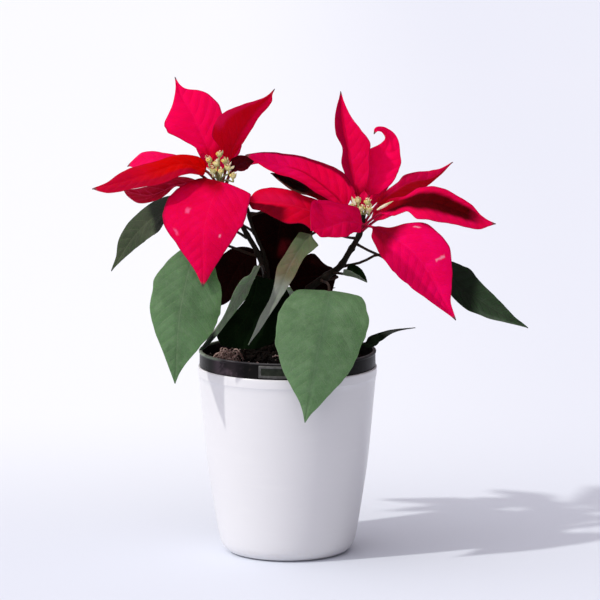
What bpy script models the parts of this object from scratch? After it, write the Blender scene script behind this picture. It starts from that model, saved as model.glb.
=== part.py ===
"""Potted poinsettia: two flower heads on woody stems, in a black nursery pot inside a white cover pot.

Lengths in the tables are millimetres. The origin is the centre of the cover pot's underside, +Z is up
and the side shown to the viewer faces -Y.
"""

import math

import bmesh
import bpy
import numpy as np

MM = 0.001
NAME = "potted_poinsettia"

# Cover pot
COVER_HEIGHT = 142.0
COVER_RIM_RADIUS = 67.5
COVER_FOOT_RADIUS = 41.0
COVER_WALL = 2.6
COVER_FLOOR = 3.2

# Nursery pot, whose collar stands on the cover pot's rim
SEAT_GAP = 0.3
COLLAR_HEIGHT = 11.7
COLLAR_RADIUS = 66.4
COLLAR_WALL = 2.0
BODY_TOP_RADIUS = 62.4
BODY_FOOT_RADIUS = 45.0
BODY_FOOT_Z = 18.0
BODY_WALL = 1.5
DRAIN_RADIUS = 4.0
DRAIN_RING = 26.0
DRAIN_COUNT = 4

# Frame pressed into the front of the collar
TAB_WIDTH = 26.0
TAB_HEIGHT = 9.8
TAB_TURN = -7.5
TAB_BORDER = 2.2

SOIL_GAP = 0.35
SOIL_EDGE_Z = 145.0
SOIL_CROWN_Z = 146.4

TURN_STEPS = 48

# Leaves and bracts
BLADE_THICK = 0.9
PETIOLE_RADIUS = 1.0
PETIOLE_STATIONS = 3
BLADE_STATIONS = 12
BLADE_END = 0.45
ACROSS = (-1.0, -0.5, 0.0, 0.5, 1.0)
ROOT_CLEARANCE = 0.8

# Stems: points along each, radius at its foot and at its top
STEMS = {
    "right": {
        "path": [
            (4, 5, 147.6), (4, 5, 158), (7, 4, 180), (15, 2, 198), (28, 0, 209),
            (39, -2, 217), (46, -3, 228), (54, -3, 242), (57, -1, 256),
        ],
        "radii": (3.7, 1.7),
    },
    "left": {
        "path": [
            (4, 5, 154), (-8, 3, 180), (-15, 0, 206), (-22, -3, 227),
            (-32, -5, 245), (-43, -7, 266), (-51, -7, 281),
        ],
        "radii": (2.8, 1.4),
    },
    "shoot": {
        "path": [(-14, 1, 203), (-17, -1, 224), (-26, -3, 246), (-30, -2, 262)],
        "radii": (1.5, 1.0),
    },
}

# Bracts. down: how far below the stem's top it leaves the stem. path: where the blade begins, points
# along its middle and its tip. face: which way its upper side looks. fold: degrees that each half rises
# from flat. left and right: widths of its halves at OUTLINE_AT, shares of the blade's length.
# lobe: how far the base's shoulders reach back, as a share of the half width.
OUTLINE_AT = (0.05, 0.12, 0.22, 0.34, 0.48, 0.62, 0.76, 0.87, 0.94)
LEFT_BRACTS = {
    "upper": dict(
        down=1,
        path=[
            (-56, 3, 296),
            (-63.5, 7, 314),
            (-71.5, 12, 331.5),
            (-80, 17, 344.5),
            (-84.5, 20, 358),
        ],
        face=(0.1, -1, 0.25),
        fold=8,
        left=(2, 4.5, 9, 15.9, 23.8, 22.2, 8.1, 2.4, 0.9),
        right=(7, 14, 20, 20, 21.2, 18.1, 12, 3.7, 1.1),
    ),
    "folded": dict(
        down=3,
        path=[(-45, 4, 294), (-38, 8, 311), (-25, 13, 331.5), (-14.5, 16, 342.5), (-9.5, 18, 349)],
        face=(0.5, -0.85, 0.1),
        fold=14,
        left=(5, 10, 24, 26.1, 22.2, 14.2, 6.1, 2.4, 1.2),
        right=(2.2, 3.1, 4.4, 5.4, 5.4, 5.1, 5.3, 4.2, 0.9),
    ),
    "side": dict(
        down=3,
        lobe=0.45,
        path=[
            (-61, -9, 290.5),
            (-78.5, -12, 296),
            (-102, -20, 290),
            (-125, -26, 284),
            (-145, -28, 279.5),
        ],
        face=(0.1, -0.45, 1),
        fold=8,
        left=(9, 13, 16.2, 18.3, 20.1, 17.5, 15.2, 11.9, 6.7),
        right=(9, 12.5, 12.1, 11.3, 12.5, 11.8, 9.2, 3.3, 1.3),
    ),
    "side_back": dict(
        down=7,
        path=[(-64, -2, 286), (-82.5, 14, 296), (-102.5, 26, 295), (-121.5, 36, 288.5)],
        face=(0, -0.5, 1),
        fold=5,
        left=(3, 6, 10, 10.5, 13.9, 13.2, 12.2, 7.7, 3.2),
        right=(3, 6, 10, 4.6, 6.4, 9.4, 12.8, 13.4, 8.4),
    ),
    "side_low": dict(
        down=13,
        path=[(-63, -5, 279), (-82, -7, 280.5), (-102.5, -9, 273), (-122.5, -11, 276.5)],
        face=(0, 0.6, 1),
        fold=4,
        left=(3, 7, 11, 13.2, 11.9, 14.5, 12, 5.9, 2.3),
        right=(3, 7, 11, 4.6, 9.2, 13, 18.7, 13.4, 8.4),
    ),
    "hanging": dict(
        down=6,
        lobe=0.35,
        path=[
            (-49, -18, 283),
            (-56.5, -33, 269.5),
            (-61.5, -45, 251),
            (-62, -50, 229),
            (-62.5, -52, 209.5),
        ],
        face=(-0.1, -1, 0.4),
        fold=-5,
        left=(23, 26, 26.6, 27.9, 25.4, 20.1, 12.3, 6.7, 3.4),
        right=(14, 22, 30.2, 33.3, 31.7, 21.4, 12.5, 6, 2.7),
    ),
    "small": dict(
        down=5,
        path=[(-42, -2, 289), (-34, 2, 295), (-24, 5, 298)],
        face=(0, -0.8, 1),
        fold=10,
        left=(2.6, 4.4, 6.3, 7.7, 7.7, 6.5, 4.7, 2.9, 1.5),
        right=(2.9, 5, 7.1, 8.6, 8.7, 7.4, 5.3, 3.3, 1.7),
    ),
    "back_left": dict(
        down=9,
        path=[(-51, 9, 285), (-53, 44, 310), (-58, 84, 313)],
        face=(0, -0.2, 1),
        fold=6,
        left=(6.4, 10.7, 14.7, 17.5, 17.3, 14.4, 10.1, 5.8, 2.8),
        right=(6.4, 10.7, 14.7, 17.5, 17.3, 14.4, 10.1, 5.8, 2.8),
    ),
    "back_right": dict(
        down=9,
        path=[(-41, 5, 288), (-13.5, 38, 293.5), (11.5, 76, 283.5)],
        face=(0, 0, 1),
        fold=6,
        left=(1.5, 2.5, 6, 14.5, 14.4, 12, 8.4, 4.9, 2.3),
        right=(1.5, 2.5, 6, 14.5, 14.4, 12, 8.4, 4.9, 2.3),
    ),
}

RIGHT_BRACTS = {
    "upper_left": dict(
        down=1,
        path=[(53, 7, 268), (49, 13, 288.5), (44.5, 17, 312), (41.5, 20, 330.5), (40, 22, 347)],
        face=(0.15, -1, 0.2),
        fold=30,
        left=(3, 5, 8, 9.4, 6, 9.8, 8, 4.8, 2.1),
        right=(6, 10, 13, 15.3, 18, 12.1, 6.3, 2.9, 1.2),
    ),
    "hooked": dict(
        down=3,
        path=[
            (61, 9, 269),
            (70, 22, 292),
            (76.5, 25, 308.5),
            (73, 22.5, 316.5),
            (67.5, 18, 318.5),
            (65, 15, 315.5),
        ],
        face=(0, -1, 0.2),
        fold=6,
        left=(6, 10, 15, 16, 13, 6, 2.5, 1.7, 1.4),
        right=(6, 9, 13, 15, 14.5, 10, 4.5, 2.4, 1.8),
    ),
    "narrow": dict(
        down=6,
        path=[(67, 3, 263), (79.5, 12, 272), (93, 20, 278.5), (110, 28, 281), (125, 34, 292)],
        face=(0, -0.7, 1),
        fold=8,
        left=(3.8, 3.9, 4.5, 4.6, 8.3, 8.7, 6.6, 2.5, 1),
        right=(4.4, 9.3, 14.1, 15, 14.4, 8.5, 2.7, 1.6, 0.8),
    ),
    "long": dict(
        down=8,
        path=[
            (69, -7, 258),
            (88, -8, 265.5),
            (107, -10, 267),
            (125, -10, 261),
            (141, -9, 255),
            (156, -8, 250.5),
        ],
        face=(0, -0.8, 1),
        fold=10,
        left=(5, 9, 7.4, 13.4, 15.5, 13.6, 10.3, 3.7, 1.1),
        right=(5, 9, 8.7, 20.3, 21.6, 18, 14.6, 11.6, 5.5),
    ),
    "hanging": dict(
        down=11,
        path=[
            (63, -14, 249),
            (87.5, -28, 237.5),
            (103.5, -36, 220.5),
            (117, -44, 196),
            (125, -46, 183.5),
        ],
        face=(0.25, -1, 0.4),
        fold=-5,
        left=(2.7, 4.8, 14.5, 23.9, 23.7, 18.3, 10.4, 3.9, 2),
        right=(8.1, 13.3, 19.2, 22.3, 22.9, 19.3, 12.1, 5.6, 2.3),
    ),
    "arching": dict(
        down=4,
        path=[
            (45, -8, 261),
            (32, -8, 274.5),
            (11.5, -8, 289.5),
            (-9.5, -4, 295),
            (-31.5, 0, 301.5),
        ],
        face=(0, -0.7, 1),
        fold=6,
        left=(4, 6, 8, 11, 11.2, 11.1, 8.9, 5.2, 2.7),
        right=(16.3, 18.2, 21.5, 19.3, 15.2, 14.1, 12.2, 8.4, 4.4),
    ),
    "dark": dict(
        down=7,
        path=[(43, 1, 258), (22, 1, 272), (6.5, 3, 277.5), (-12.5, 2, 287.5)],
        face=(0, -0.6, 1),
        fold=4,
        left=(1.7, 3, 4.4, 5.6, 6.6, 7, 5.7, 3.8, 2.2),
        right=(2, 3.5, 5, 6.4, 7.5, 7.9, 6.5, 4.3, 2.5),
    ),
    "low_left": dict(
        down=9,
        lobe=0.4,
        path=[(55.5, -14, 251.5), (43.5, -27, 254.5), (29.5, -38, 251.5), (17.5, -46, 251)],
        face=(-0.1, -1, 0.38),
        fold=4,
        left=(4, 8, 8.1, 10.1, 11.5, 9.8, 7.2, 6.2, 2.1),
        right=(7, 11, 12.5, 15, 20.8, 23.1, 23.3, 21.4, 13.7),
    ),
    "between": dict(
        down=11,
        path=[(45, -7, 249), (23, -19, 259.5), (0.5, -24, 267), (-29.5, -22, 269.5)],
        face=(0, -0.8, 0.8),
        fold=5,
        left=(1.5, 4.3, 12.1, 19.4, 13.8, 17, 12.9, 8.8, 7.8),
        right=(2.3, 12.4, 14.4, 12.8, 12, 14, 14.9, 12.3, 9),
    ),
    "back": dict(
        down=7,
        path=[(56, 12, 257), (62, 44, 284), (58, 88, 285)],
        face=(0, -0.1, 1),
        fold=6,
        left=(6.4, 10.7, 14.7, 17.5, 17.3, 14.4, 10.1, 5.8, 2.8),
        right=(6.4, 10.7, 14.7, 17.5, 17.3, 14.4, 10.1, 5.8, 2.8),
    ),
    "back_right": dict(
        down=12,
        path=[(65, 7, 250), (92, 42, 265), (114, 78, 262)],
        face=(0, 0, 1),
        fold=6,
        left=(5.4, 8.9, 12.2, 14.5, 14.4, 12, 8.4, 4.9, 2.3),
        right=(5.4, 8.9, 12.2, 14.5, 14.4, 12, 8.4, 4.9, 2.3),
    ),
}

# Green leaves. stem and at: where the petiole leaves, as a share of that stem's length. via: points that
# the petiole passes.
LEAVES = {
    "left_back": dict(
        stem="left",
        at=0.66,
        via=[(-60, 8, 256)],
        path=[(-76, 17, 266), (-110, 27, 243), (-134, 30, 209)],
        face=(-0.3, -0.6, 0.8),
        fold=8,
        left=(5, 9, 13.6, 21.5, 17.6, 12.5, 7.4, 3.5, 1.4),
        right=(5, 9, 13.1, 15.4, 15.4, 13.3, 9.5, 3.9, 2),
    ),
    "left_front": dict(
        stem="left",
        at=0.55,
        lobe=0.2,
        path=[(-62, -30, 238), (-78, -50, 198), (-83, -64, 139)],
        face=(-0.1, -1, 0.3),
        fold=-4,
        left=(4.8, 15.1, 21.2, 27.7, 29.4, 25.9, 15.3, 6.6, 2.4),
        right=(6, 12, 19.1, 24.8, 23.5, 19, 12.3, 6.7, 3.2),
    ),
    "left_edge": dict(
        stem="left",
        at=0.45,
        path=[(-20.5, -30, 222), (-31.5, -44, 207.5), (-44.5, -58, 190), (-64, -70, 165)],
        face=(0.9, 0.1, 0.4),
        fold=20,
        left=(1.5, 3, 5, 6.4, 5.9, 5.9, 5.8, 4.6, 3.6),
        right=(2.4, 9.7, 14.1, 16.4, 17.1, 15.1, 11.6, 7.9, 5.1),
    ),
    "shade": dict(
        stem="left",
        at=0.36,
        path=[(-21.5, -12, 211.5), (-25, -22, 196.5), (-33, -31, 180), (-49.5, -38, 163.5)],
        face=(-0.3, -0.8, 0.4),
        fold=5,
        left=(13.8, 21.1, 27.8, 31.9, 33.2, 29.8, 22.4, 14.6, 8.5),
        right=(2.5, 4, 5.4, 6.4, 8.9, 10.6, 10.8, 9.9, 8.5),
    ),
    "olive": dict(
        stem="right",
        at=0.86,
        via=[(44, -12, 241), (32, -21, 245.5)],
        path=[
            (18.5, -27, 245.5),
            (3.5, -34, 225.5),
            (-7, -41, 202.5),
            (-17.5, -49, 185),
            (-29, -55, 166.5),
        ],
        face=(-0.5, -0.8, 0.2),
        fold=10,
        left=(12.1, 10.9, 8.3, 8.6, 5.8, 3.8, 2.7, 2.1, 1.1),
        right=(8.7, 8.4, 8, 9.1, 6, 3.8, 3.5, 1.7, 0.8),
    ),
    "front": dict(
        stem="right",
        at=0.52,
        lobe=0.25,
        path=[(31, -48, 206), (23, -77, 168), (13, -87, 114)],
        face=(0, -1, 0.3),
        fold=-4,
        left=(24, 29.3, 32.2, 31.6, 29.2, 24.1, 15.5, 8.3, 3.1),
        right=(22.8, 28.1, 32.2, 34, 32.2, 25.8, 15.6, 6.5, 2.6),
    ),
    "low_right": dict(
        stem="right",
        at=0.2,
        path=[(54.5, 9, 157), (65.5, 14, 161), (78.5, 21, 164.5), (97, 26, 166.5)],
        face=(0, -0.4, 1),
        fold=-8,
        left=(2, 3, 3.6, 3.6, 3, 2.2, 1.4, 0.8, 0.5),
        right=(3, 5, 6.5, 6, 4.3, 2.7, 1.6, 1, 0.6),
    ),
    "right": dict(
        stem="right",
        at=0.66,
        via=[(56, 2, 220), (68, 6, 225), (92.5, 12, 224.5)],
        path=[(113.5, 16, 216.5), (132, 24, 198.5), (155.5, 34, 180), (183.5, 38, 164)],
        face=(0, -0.7, 0.9),
        fold=8,
        left=(6, 11.6, 15, 17.8, 16.8, 13.2, 7.9, 3, 1.6),
        right=(6, 12, 19.6, 20.1, 16.7, 12.8, 7.9, 4.5, 2.2),
    ),
    "small": dict(
        stem="right",
        at=0.6,
        path=[(41, -10, 213), (50, -16, 212), (59.5, -22, 208.5)],
        face=(0, -0.42, 0.9),
        fold=60,
        left=(3.2, 5.3, 7.3, 8.7, 8.7, 7.5, 5.6, 3.6, 2),
        right=(3.2, 5.3, 7.3, 8.7, 8.7, 7.5, 5.6, 3.6, 2),
    ),
    "maroon": dict(
        stem="left",
        at=0.42,
        path=[(-21.5, 8, 225.5), (-34.5, 13, 217.5), (-44, 15, 201.5), (-52, 16, 184.5)],
        face=(-0.2, -1, 0.4),
        fold=5,
        left=(14.1, 13, 13.4, 13.3, 12.1, 10.2, 8.3, 5.9, 3.6),
        right=(2.9, 6.9, 11.5, 15.2, 17.2, 16.9, 14.3, 10.5, 7.6),
    ),
    "inner": dict(
        stem="shoot",
        at=0.9,
        via=[(-19, 6, 257.5)],
        path=[(-5, 12, 260.5), (-6.5, 15, 241), (-11, 14, 218.5), (-16.5, 11, 199)],
        face=(0, -1, 0.25),
        fold=4,
        left=(14.7, 25, 25.5, 22.4, 17.2, 14, 12.9, 12.2, 11.8),
        right=(21.3, 25.8, 25.5, 19.7, 13.5, 9.8, 10, 10.4, 9.8),
    ),
    "cluster": dict(
        stem="right",
        at=0.5,
        path=[(37.5, 9, 207.5), (27.5, 11, 207.5), (14.5, 12, 207), (0.5, 12, 202)],
        face=(0, -1, 0.5),
        fold=0,
        left=(10.8, 12.9, 14.7, 15.5, 15.9, 15.7, 14.7, 11, 8),
        right=(4.5, 7.6, 9.5, 12.6, 18.4, 16.6, 9.5, 6.4, 4.3),
    ),
    "back_left": dict(
        stem="left",
        at=0.22,
        path=[(-36, 38, 212), (-66, 68, 205), (-96, 98, 172)],
        face=(0, 0.1, 1),
        fold=5,
        left=(8.6, 13.8, 18.5, 21.5, 21.2, 18, 13, 8, 4.1),
        right=(8.6, 13.8, 18.5, 21.5, 21.2, 18, 13, 8, 4.1),
    ),
    "back": dict(
        stem="right",
        at=0.3,
        path=[(18, 38, 190), (12, 76, 186), (4, 118, 150)],
        face=(0, 0.2, 1),
        fold=5,
        left=(9.4, 15.1, 20.1, 23.4, 23.1, 19.6, 14.2, 8.7, 4.5),
        right=(9.4, 15.1, 20.1, 23.4, 23.1, 19.6, 14.2, 8.7, 4.5),
    ),
    "back_right": dict(
        stem="right",
        at=0.82,
        via=[(60.5, 6, 228.5), (70, 18, 222.5)],
        path=[(82.5, 36, 213.5), (105.5, 68, 202), (123.5, 100, 178)],
        face=(0, 0.1, 1),
        fold=5,
        left=(4, 8, 15.1, 17.6, 17.4, 14.7, 10.7, 6.5, 3.4),
        right=(4, 8, 15.1, 17.6, 17.4, 14.7, 10.7, 6.5, 3.4),
    ),
    "back_high": dict(
        stem="shoot",
        at=0.7,
        via=[(-37.5, 14, 249)],
        path=[(-49, 34, 257), (-58, 68, 256), (-64.5, 104, 234)],
        face=(0, 0.1, 1),
        fold=5,
        left=(7.8, 12.6, 16.8, 19.5, 19.3, 16.3, 11.8, 7.2, 3.7),
        right=(7.8, 12.6, 16.8, 19.5, 19.3, 16.3, 11.8, 7.2, 3.7),
    ),
}


# Small flowers: where each cup's centre is
CUP_RADIUS = 2.2
CUP_HEIGHT = 5.0
CUP_STEPS = 10
CUPS = {
    "left": [
        (-51, -2, 302), (-58.5, -5, 298), (-53, -8, 295.5), (-46.5, -3, 297),
        (-55.5, -11, 290.5), (-49.5, -12, 290.5), (-44, -9, 292.5), (-40.5, -12, 287),
    ],
    "right": [(53, -2, 267), (60, -4, 266), (61, -7, 261), (49, -4, 263), (55, -9, 262)],
}

BRACT_RED = (0.62, 0.005, 0.06, 1)
LEAF_GREEN = (0.09, 0.19, 0.09, 1)
LEAF_DARK = (0.03, 0.07, 0.03, 1)
LEAF_OLIVE = (0.2, 0.16, 0.08, 1)
LEAF_MAROON = (0.12, 0.01, 0.02, 1)
STEM_BROWN = (0.12, 0.1, 0.04, 1)
CUP_GREEN = (0.5, 0.5, 0.12, 1)
COVER_WHITE = (0.86, 0.86, 0.87, 1)
NURSERY_BLACK = (0.01, 0.01, 0.012, 1)
SOIL_BROWN = (0.025, 0.015, 0.012, 1)


def clear_scene():
    for item in list(bpy.data.objects):
        bpy.data.objects.remove(item, do_unlink=True)


def material(name, color, roughness):
    made = bpy.data.materials.get(name) or bpy.data.materials.new(name)
    made.use_nodes = True
    shader = made.node_tree.nodes["Principled BSDF"]
    shader.inputs["Base Color"].default_value = color
    shader.inputs["Roughness"].default_value = roughness
    return made


def add_mesh(name, bm, target, look=None, smooth=True):
    """Turns a finished bmesh into an object of the target collection."""
    bmesh.ops.recalc_face_normals(bm, faces=bm.faces[:])
    for face in bm.faces:
        face.smooth = smooth
    mesh = bpy.data.meshes.new(name)
    bm.to_mesh(mesh)
    bm.free()
    item = bpy.data.objects.new(name, mesh)
    target.objects.link(item)
    if look:
        mesh.materials.append(look)
    return item


def turned(name, profile, target, look, steps=TURN_STEPS, at=(0, 0, 0)):
    """A turned body. The profile of (radius, height) starts on the axis, ends on it and runs down outside."""
    mesh = bpy.data.meshes.new(name)
    points = [(r * MM, 0, z * MM) for r, z in profile]
    edges = [(i, i + 1) for i in range(len(points) - 1)]
    mesh.from_pydata(points, edges, [])
    mesh.materials.append(look)
    item = bpy.data.objects.new(name, mesh)
    item.location = [c * MM for c in at]
    target.objects.link(item)
    screw = item.modifiers.new("Turn", "SCREW")
    screw.axis = "Z"
    screw.steps = steps
    screw.render_steps = steps
    screw.use_merge_vertices = True
    screw.merge_threshold = 0.00001
    screw.use_smooth_shade = True
    return item


def boolean(item, cutter, operation):
    step = item.modifiers.new(operation.title(), "BOOLEAN")
    step.operation = operation
    step.solver = "EXACT"
    step.object = cutter


def hide_cutter(item):
    item.hide_render = True
    item.display_type = "WIRE"


def box(name, size, center, turn_z, target):
    """A block with the given size and centre, turned about the world's Z axis."""
    bm = bmesh.new()
    bmesh.ops.create_cube(bm, size=1)
    for vert in bm.verts:
        vert.co = [vert.co[k] * size[k] * MM + center[k] * MM for k in range(3)]
    item = add_mesh(name, bm, target, smooth=False)
    item.rotation_euler.z = math.radians(turn_z)
    hide_cutter(item)
    return item


def cylinder(name, radius, height, center, target):
    bm = bmesh.new()
    bmesh.ops.create_cone(
        bm, cap_ends=True, segments=16, radius1=radius * MM, radius2=radius * MM, depth=height * MM
    )
    item = add_mesh(name, bm, target)
    item.location = [c * MM for c in center]
    hide_cutter(item)
    return item


def through(points, per_span=12):
    """A smooth curve through the points, and how far along it each of them lies."""
    p = np.array(points, float)
    p = np.vstack([2 * p[0] - p[1], p, 2 * p[-1] - p[-2]])
    curve = [p[1]]
    marks = [0]
    for k in range(1, len(p) - 2):
        a, b, c, d = p[k - 1 : k + 3]
        for t in np.linspace(0, 1, per_span + 1)[1:]:
            bend = (2 * a - 5 * b + 4 * c - d) * t**2 + (3 * b - 3 * c + d - a) * t**3
            curve.append(0.5 * (2 * b + (c - a) * t + bend))
        marks.append(len(curve) - 1)
    curve = np.array(curve)
    length = np.r_[0, np.cumsum(np.linalg.norm(np.diff(curve, axis=0), axis=1))]
    return curve, length, length[marks]


def along(curve, length, distance):
    """The curve's point and direction at a distance from its start."""
    point = np.array([np.interp(distance, length, curve[:, k]) for k in range(3)])
    step = length[-1] * 0.02
    low = np.array([np.interp(distance - step, length, curve[:, k]) for k in range(3)])
    high = np.array([np.interp(distance + step, length, curve[:, k]) for k in range(3)])
    direction = high - low
    return point, direction / np.linalg.norm(direction)


def stem_point(name, share):
    """The middle of a stem at a share of its length, and its radius there."""
    spec = STEMS[name]
    curve, length, _ = through(spec["path"])
    point, _ = along(curve, length, share * length[-1])
    foot, top = spec["radii"]
    return point, foot + (top - foot) * share


def root_beside(center, radius, toward):
    """Where a petiole starts: just clear of a stem of that radius, on the side of the point it goes to."""
    way = np.array(toward, float) - center
    way[2] = 0
    way /= np.linalg.norm(way)
    return center + way * (radius + PETIOLE_RADIUS + ROOT_CLEARANCE)


def half_width(u, widths):
    """Half width at share u of the blade's length, from the widths at OUTLINE_AT."""
    return np.interp(u, (0, *OUTLINE_AT, 1), (PETIOLE_RADIUS, *widths, BLADE_END))


def leaf(name, root, spec, look, target):
    """A leaf or bract with its petiole: rings of points round a curved midrib, closed at both ends."""
    via = spec.get("via", [])
    curve, length, marks = through([root] + via + spec["path"])
    petiole = marks[1 + len(via)]
    blade = length[-1] - petiole
    face = np.array(spec["face"], float)
    fold = math.radians(spec["fold"])
    stations = [(k / PETIOLE_STATIONS * petiole, None) for k in range(PETIOLE_STATIONS)]
    for k in range(BLADE_STATIONS + 1):
        u = k / BLADE_STATIONS
        stations.append((petiole + u * blade, u))
    rings = []
    for distance, u in stations:
        center, direction = along(curve, length, distance)
        normal = face - face.dot(direction) * direction
        normal /= np.linalg.norm(normal)
        side = np.cross(direction, normal)
        upper, lower = [], []
        for s in ACROSS:
            if not u:
                x = PETIOLE_RADIUS * math.sin(s * math.pi / 3)
                lift, back = 0, 0
                top = PETIOLE_RADIUS * math.cos(s * math.pi / 3)
                bottom = -top
            else:
                half = half_width(u, spec["left"] if s < 0 else spec["right"])
                x = half * s * math.cos(fold)
                lift = half * abs(s) * math.sin(fold)
                back = spec.get("lobe", 0) * half * s * s * max(0, 1 - u / 0.4) ** 2
                top = BLADE_THICK / 2
                bottom = -top - 0.7 * PETIOLE_RADIUS * (1 - u) * max(0, 1 - 2 * abs(s))
            spot = center + side * x - direction * back
            upper.append(spot + normal * (lift + top))
            lower.append(spot + normal * (lift + bottom))
        rings.append(upper + lower[::-1])
    bm = bmesh.new()
    verts = [[bm.verts.new(tuple(p * MM)) for p in ring] for ring in rings]
    for a, b in zip(verts, verts[1:]):
        for k in range(len(a)):
            bm.faces.new((a[k - 1], a[k], b[k], b[k - 1]))
    bm.faces.new(verts[0])
    bm.faces.new(verts[-1])
    return add_mesh(name, bm, target, look)


def cover_pot(target):
    """White pot with rounded foot, thin rounded rim and a faint band below the rim."""
    rim, wall = COVER_RIM_RADIUS, COVER_WALL
    outside = [
        (rim - 0.5, COVER_HEIGHT),
        (rim, COVER_HEIGHT - 0.8),
        (rim - 0.3, COVER_HEIGHT - 7),
        (rim - 0.8, COVER_HEIGHT - 7.8),
        (64.7, 112),
        (62.4, 86),
        (60.0, 64),
        (56.6, 41),
        (53.6, 22),
        (51.2, 10),
        (48.6, 4.2),
        (45.2, 1.1),
        (COVER_FOOT_RADIUS, 0),
        (0, 0),
    ]
    inside = [
        (0, COVER_FLOOR),
        (44, COVER_FLOOR),
        (47.5, 6.5),
        (51.0, 22),
        (54.0, 41),
        (57.4, 64),
        (59.8, 86),
        (62.1, 112),
        (rim - wall, COVER_HEIGHT - 6),
        (rim - wall + 0.4, COVER_HEIGHT - 0.4),
        (rim - 1.2, COVER_HEIGHT),
    ]
    return turned("cover_pot", inside + outside, target, material("cover_white", COVER_WHITE, 0.25))


def nursery_pot(target, cutters):
    """Black pot: collar on the cover pot's rim, tapered body inside it, drain holes and the front frame."""
    seat = COVER_HEIGHT + SEAT_GAP
    top = seat + COLLAR_HEIGHT
    lip = COLLAR_RADIUS
    inside = [
        (0, BODY_FOOT_Z + BODY_WALL),
        (BODY_FOOT_RADIUS - BODY_WALL, BODY_FOOT_Z + BODY_WALL),
        (BODY_TOP_RADIUS - BODY_WALL, seat + BODY_WALL),
        (lip - COLLAR_WALL, seat + BODY_WALL + 0.4),
        (lip - COLLAR_WALL, top - 0.3),
    ]
    outside = [
        (lip - COLLAR_WALL + 0.5, top),
        (lip - 0.1, top),
        (lip + 0.5, top - 0.6),
        (lip + 0.4, top - 1.8),
        (lip - 0.1, top - 2.3),
        (lip, seat),
        (BODY_TOP_RADIUS, seat),
        (BODY_FOOT_RADIUS, BODY_FOOT_Z),
        (0, BODY_FOOT_Z),
    ]
    pot = turned("nursery_pot", inside + outside, target, material("nursery_black", NURSERY_BLACK, 0.35))
    middle = seat + COLLAR_HEIGHT / 2 - 0.4
    front = -(lip + 0.7)
    plate = box("tab_plate", (TAB_WIDTH, 2.4, TAB_HEIGHT), (0, front + 1.2, middle), TAB_TURN, cutters)
    window_size = (TAB_WIDTH - 2 * TAB_BORDER, 1.4, TAB_HEIGHT - 2 * TAB_BORDER)
    window = box("tab_window", window_size, (0, front, middle), TAB_TURN, cutters)
    boolean(plate, window, "DIFFERENCE")
    boolean(pot, plate, "UNION")
    spots = [(0, 0)]
    for k in range(DRAIN_COUNT):
        turn = 2 * math.pi * (k + 0.5) / DRAIN_COUNT
        spots.append((DRAIN_RING * math.cos(turn), DRAIN_RING * math.sin(turn)))
    for k, (x, y) in enumerate(spots):
        drill = cylinder(f"drain_{k}", DRAIN_RADIUS, 6, (x, y, BODY_FOOT_Z + BODY_WALL / 2), cutters)
        boolean(pot, drill, "DIFFERENCE")
    return pot


def soil(target):
    seat = COVER_HEIGHT + SEAT_GAP
    inner = BODY_TOP_RADIUS - BODY_WALL - SOIL_GAP
    profile = [
        (0, SOIL_CROWN_Z),
        (30, SOIL_CROWN_Z - 0.2),
        (COLLAR_RADIUS - COLLAR_WALL - SOIL_GAP - 4, SOIL_EDGE_Z + 0.3),
        (COLLAR_RADIUS - COLLAR_WALL - SOIL_GAP, SOIL_EDGE_Z),
        (COLLAR_RADIUS - COLLAR_WALL - SOIL_GAP, seat + BODY_WALL + 0.8),
        (inner, seat + BODY_WALL + 0.4),
        (BODY_FOOT_RADIUS - BODY_WALL - SOIL_GAP - 0.4, BODY_FOOT_Z + BODY_WALL + SOIL_GAP),
        (0, BODY_FOOT_Z + BODY_WALL + SOIL_GAP),
    ]
    return turned("soil", profile, target, material("soil_brown", SOIL_BROWN, 0.95))


def tube(name, spec, target, stations=10):
    """A round stem along its path, thinner towards the top."""
    path, length, _ = through(spec["path"])
    foot, top = spec["radii"]
    curve = bpy.data.curves.new(name, "CURVE")
    curve.dimensions = "3D"
    curve.bevel_depth = foot * MM
    curve.bevel_resolution = 1
    curve.use_fill_caps = True
    spline = curve.splines.new("POLY")
    spline.points.add(stations)
    for k in range(stations + 1):
        share = k / stations
        point, _ = along(path, length, share * length[-1])
        spline.points[k].co = (*(point * MM), 1)
        spline.points[k].radius = (foot + (top - foot) * share) / foot
    item = bpy.data.objects.new(name, curve)
    target.objects.link(item)
    return item


def stems(target, cutters):
    """Both main stems and the thin shoot, joined into the one woody piece they are."""
    look = material("stem_brown", STEM_BROWN, 0.7)
    made = []
    for name, spec in STEMS.items():
        source = tube(f"tube_{name}", spec, cutters)
        mesh = bpy.data.meshes.new_from_object(source.evaluated_get(bpy.context.evaluated_depsgraph_get()))
        bm = bmesh.new()
        bm.from_mesh(mesh)
        bmesh.ops.remove_doubles(bm, verts=bm.verts[:], dist=0.00001)
        bm.to_mesh(mesh)
        bm.free()
        mesh.materials.clear()
        mesh.materials.append(look)
        item = bpy.data.objects.new(f"stem_{name}", mesh)
        item.matrix_world = source.matrix_world
        bpy.data.objects.remove(source, do_unlink=True)
        made.append(item)
    body, *others = made
    body.name = "stems"
    target.objects.link(body)
    for item in others:
        cutters.objects.link(item)
        hide_cutter(item)
        boolean(body, item, "UNION")
    return body


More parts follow.
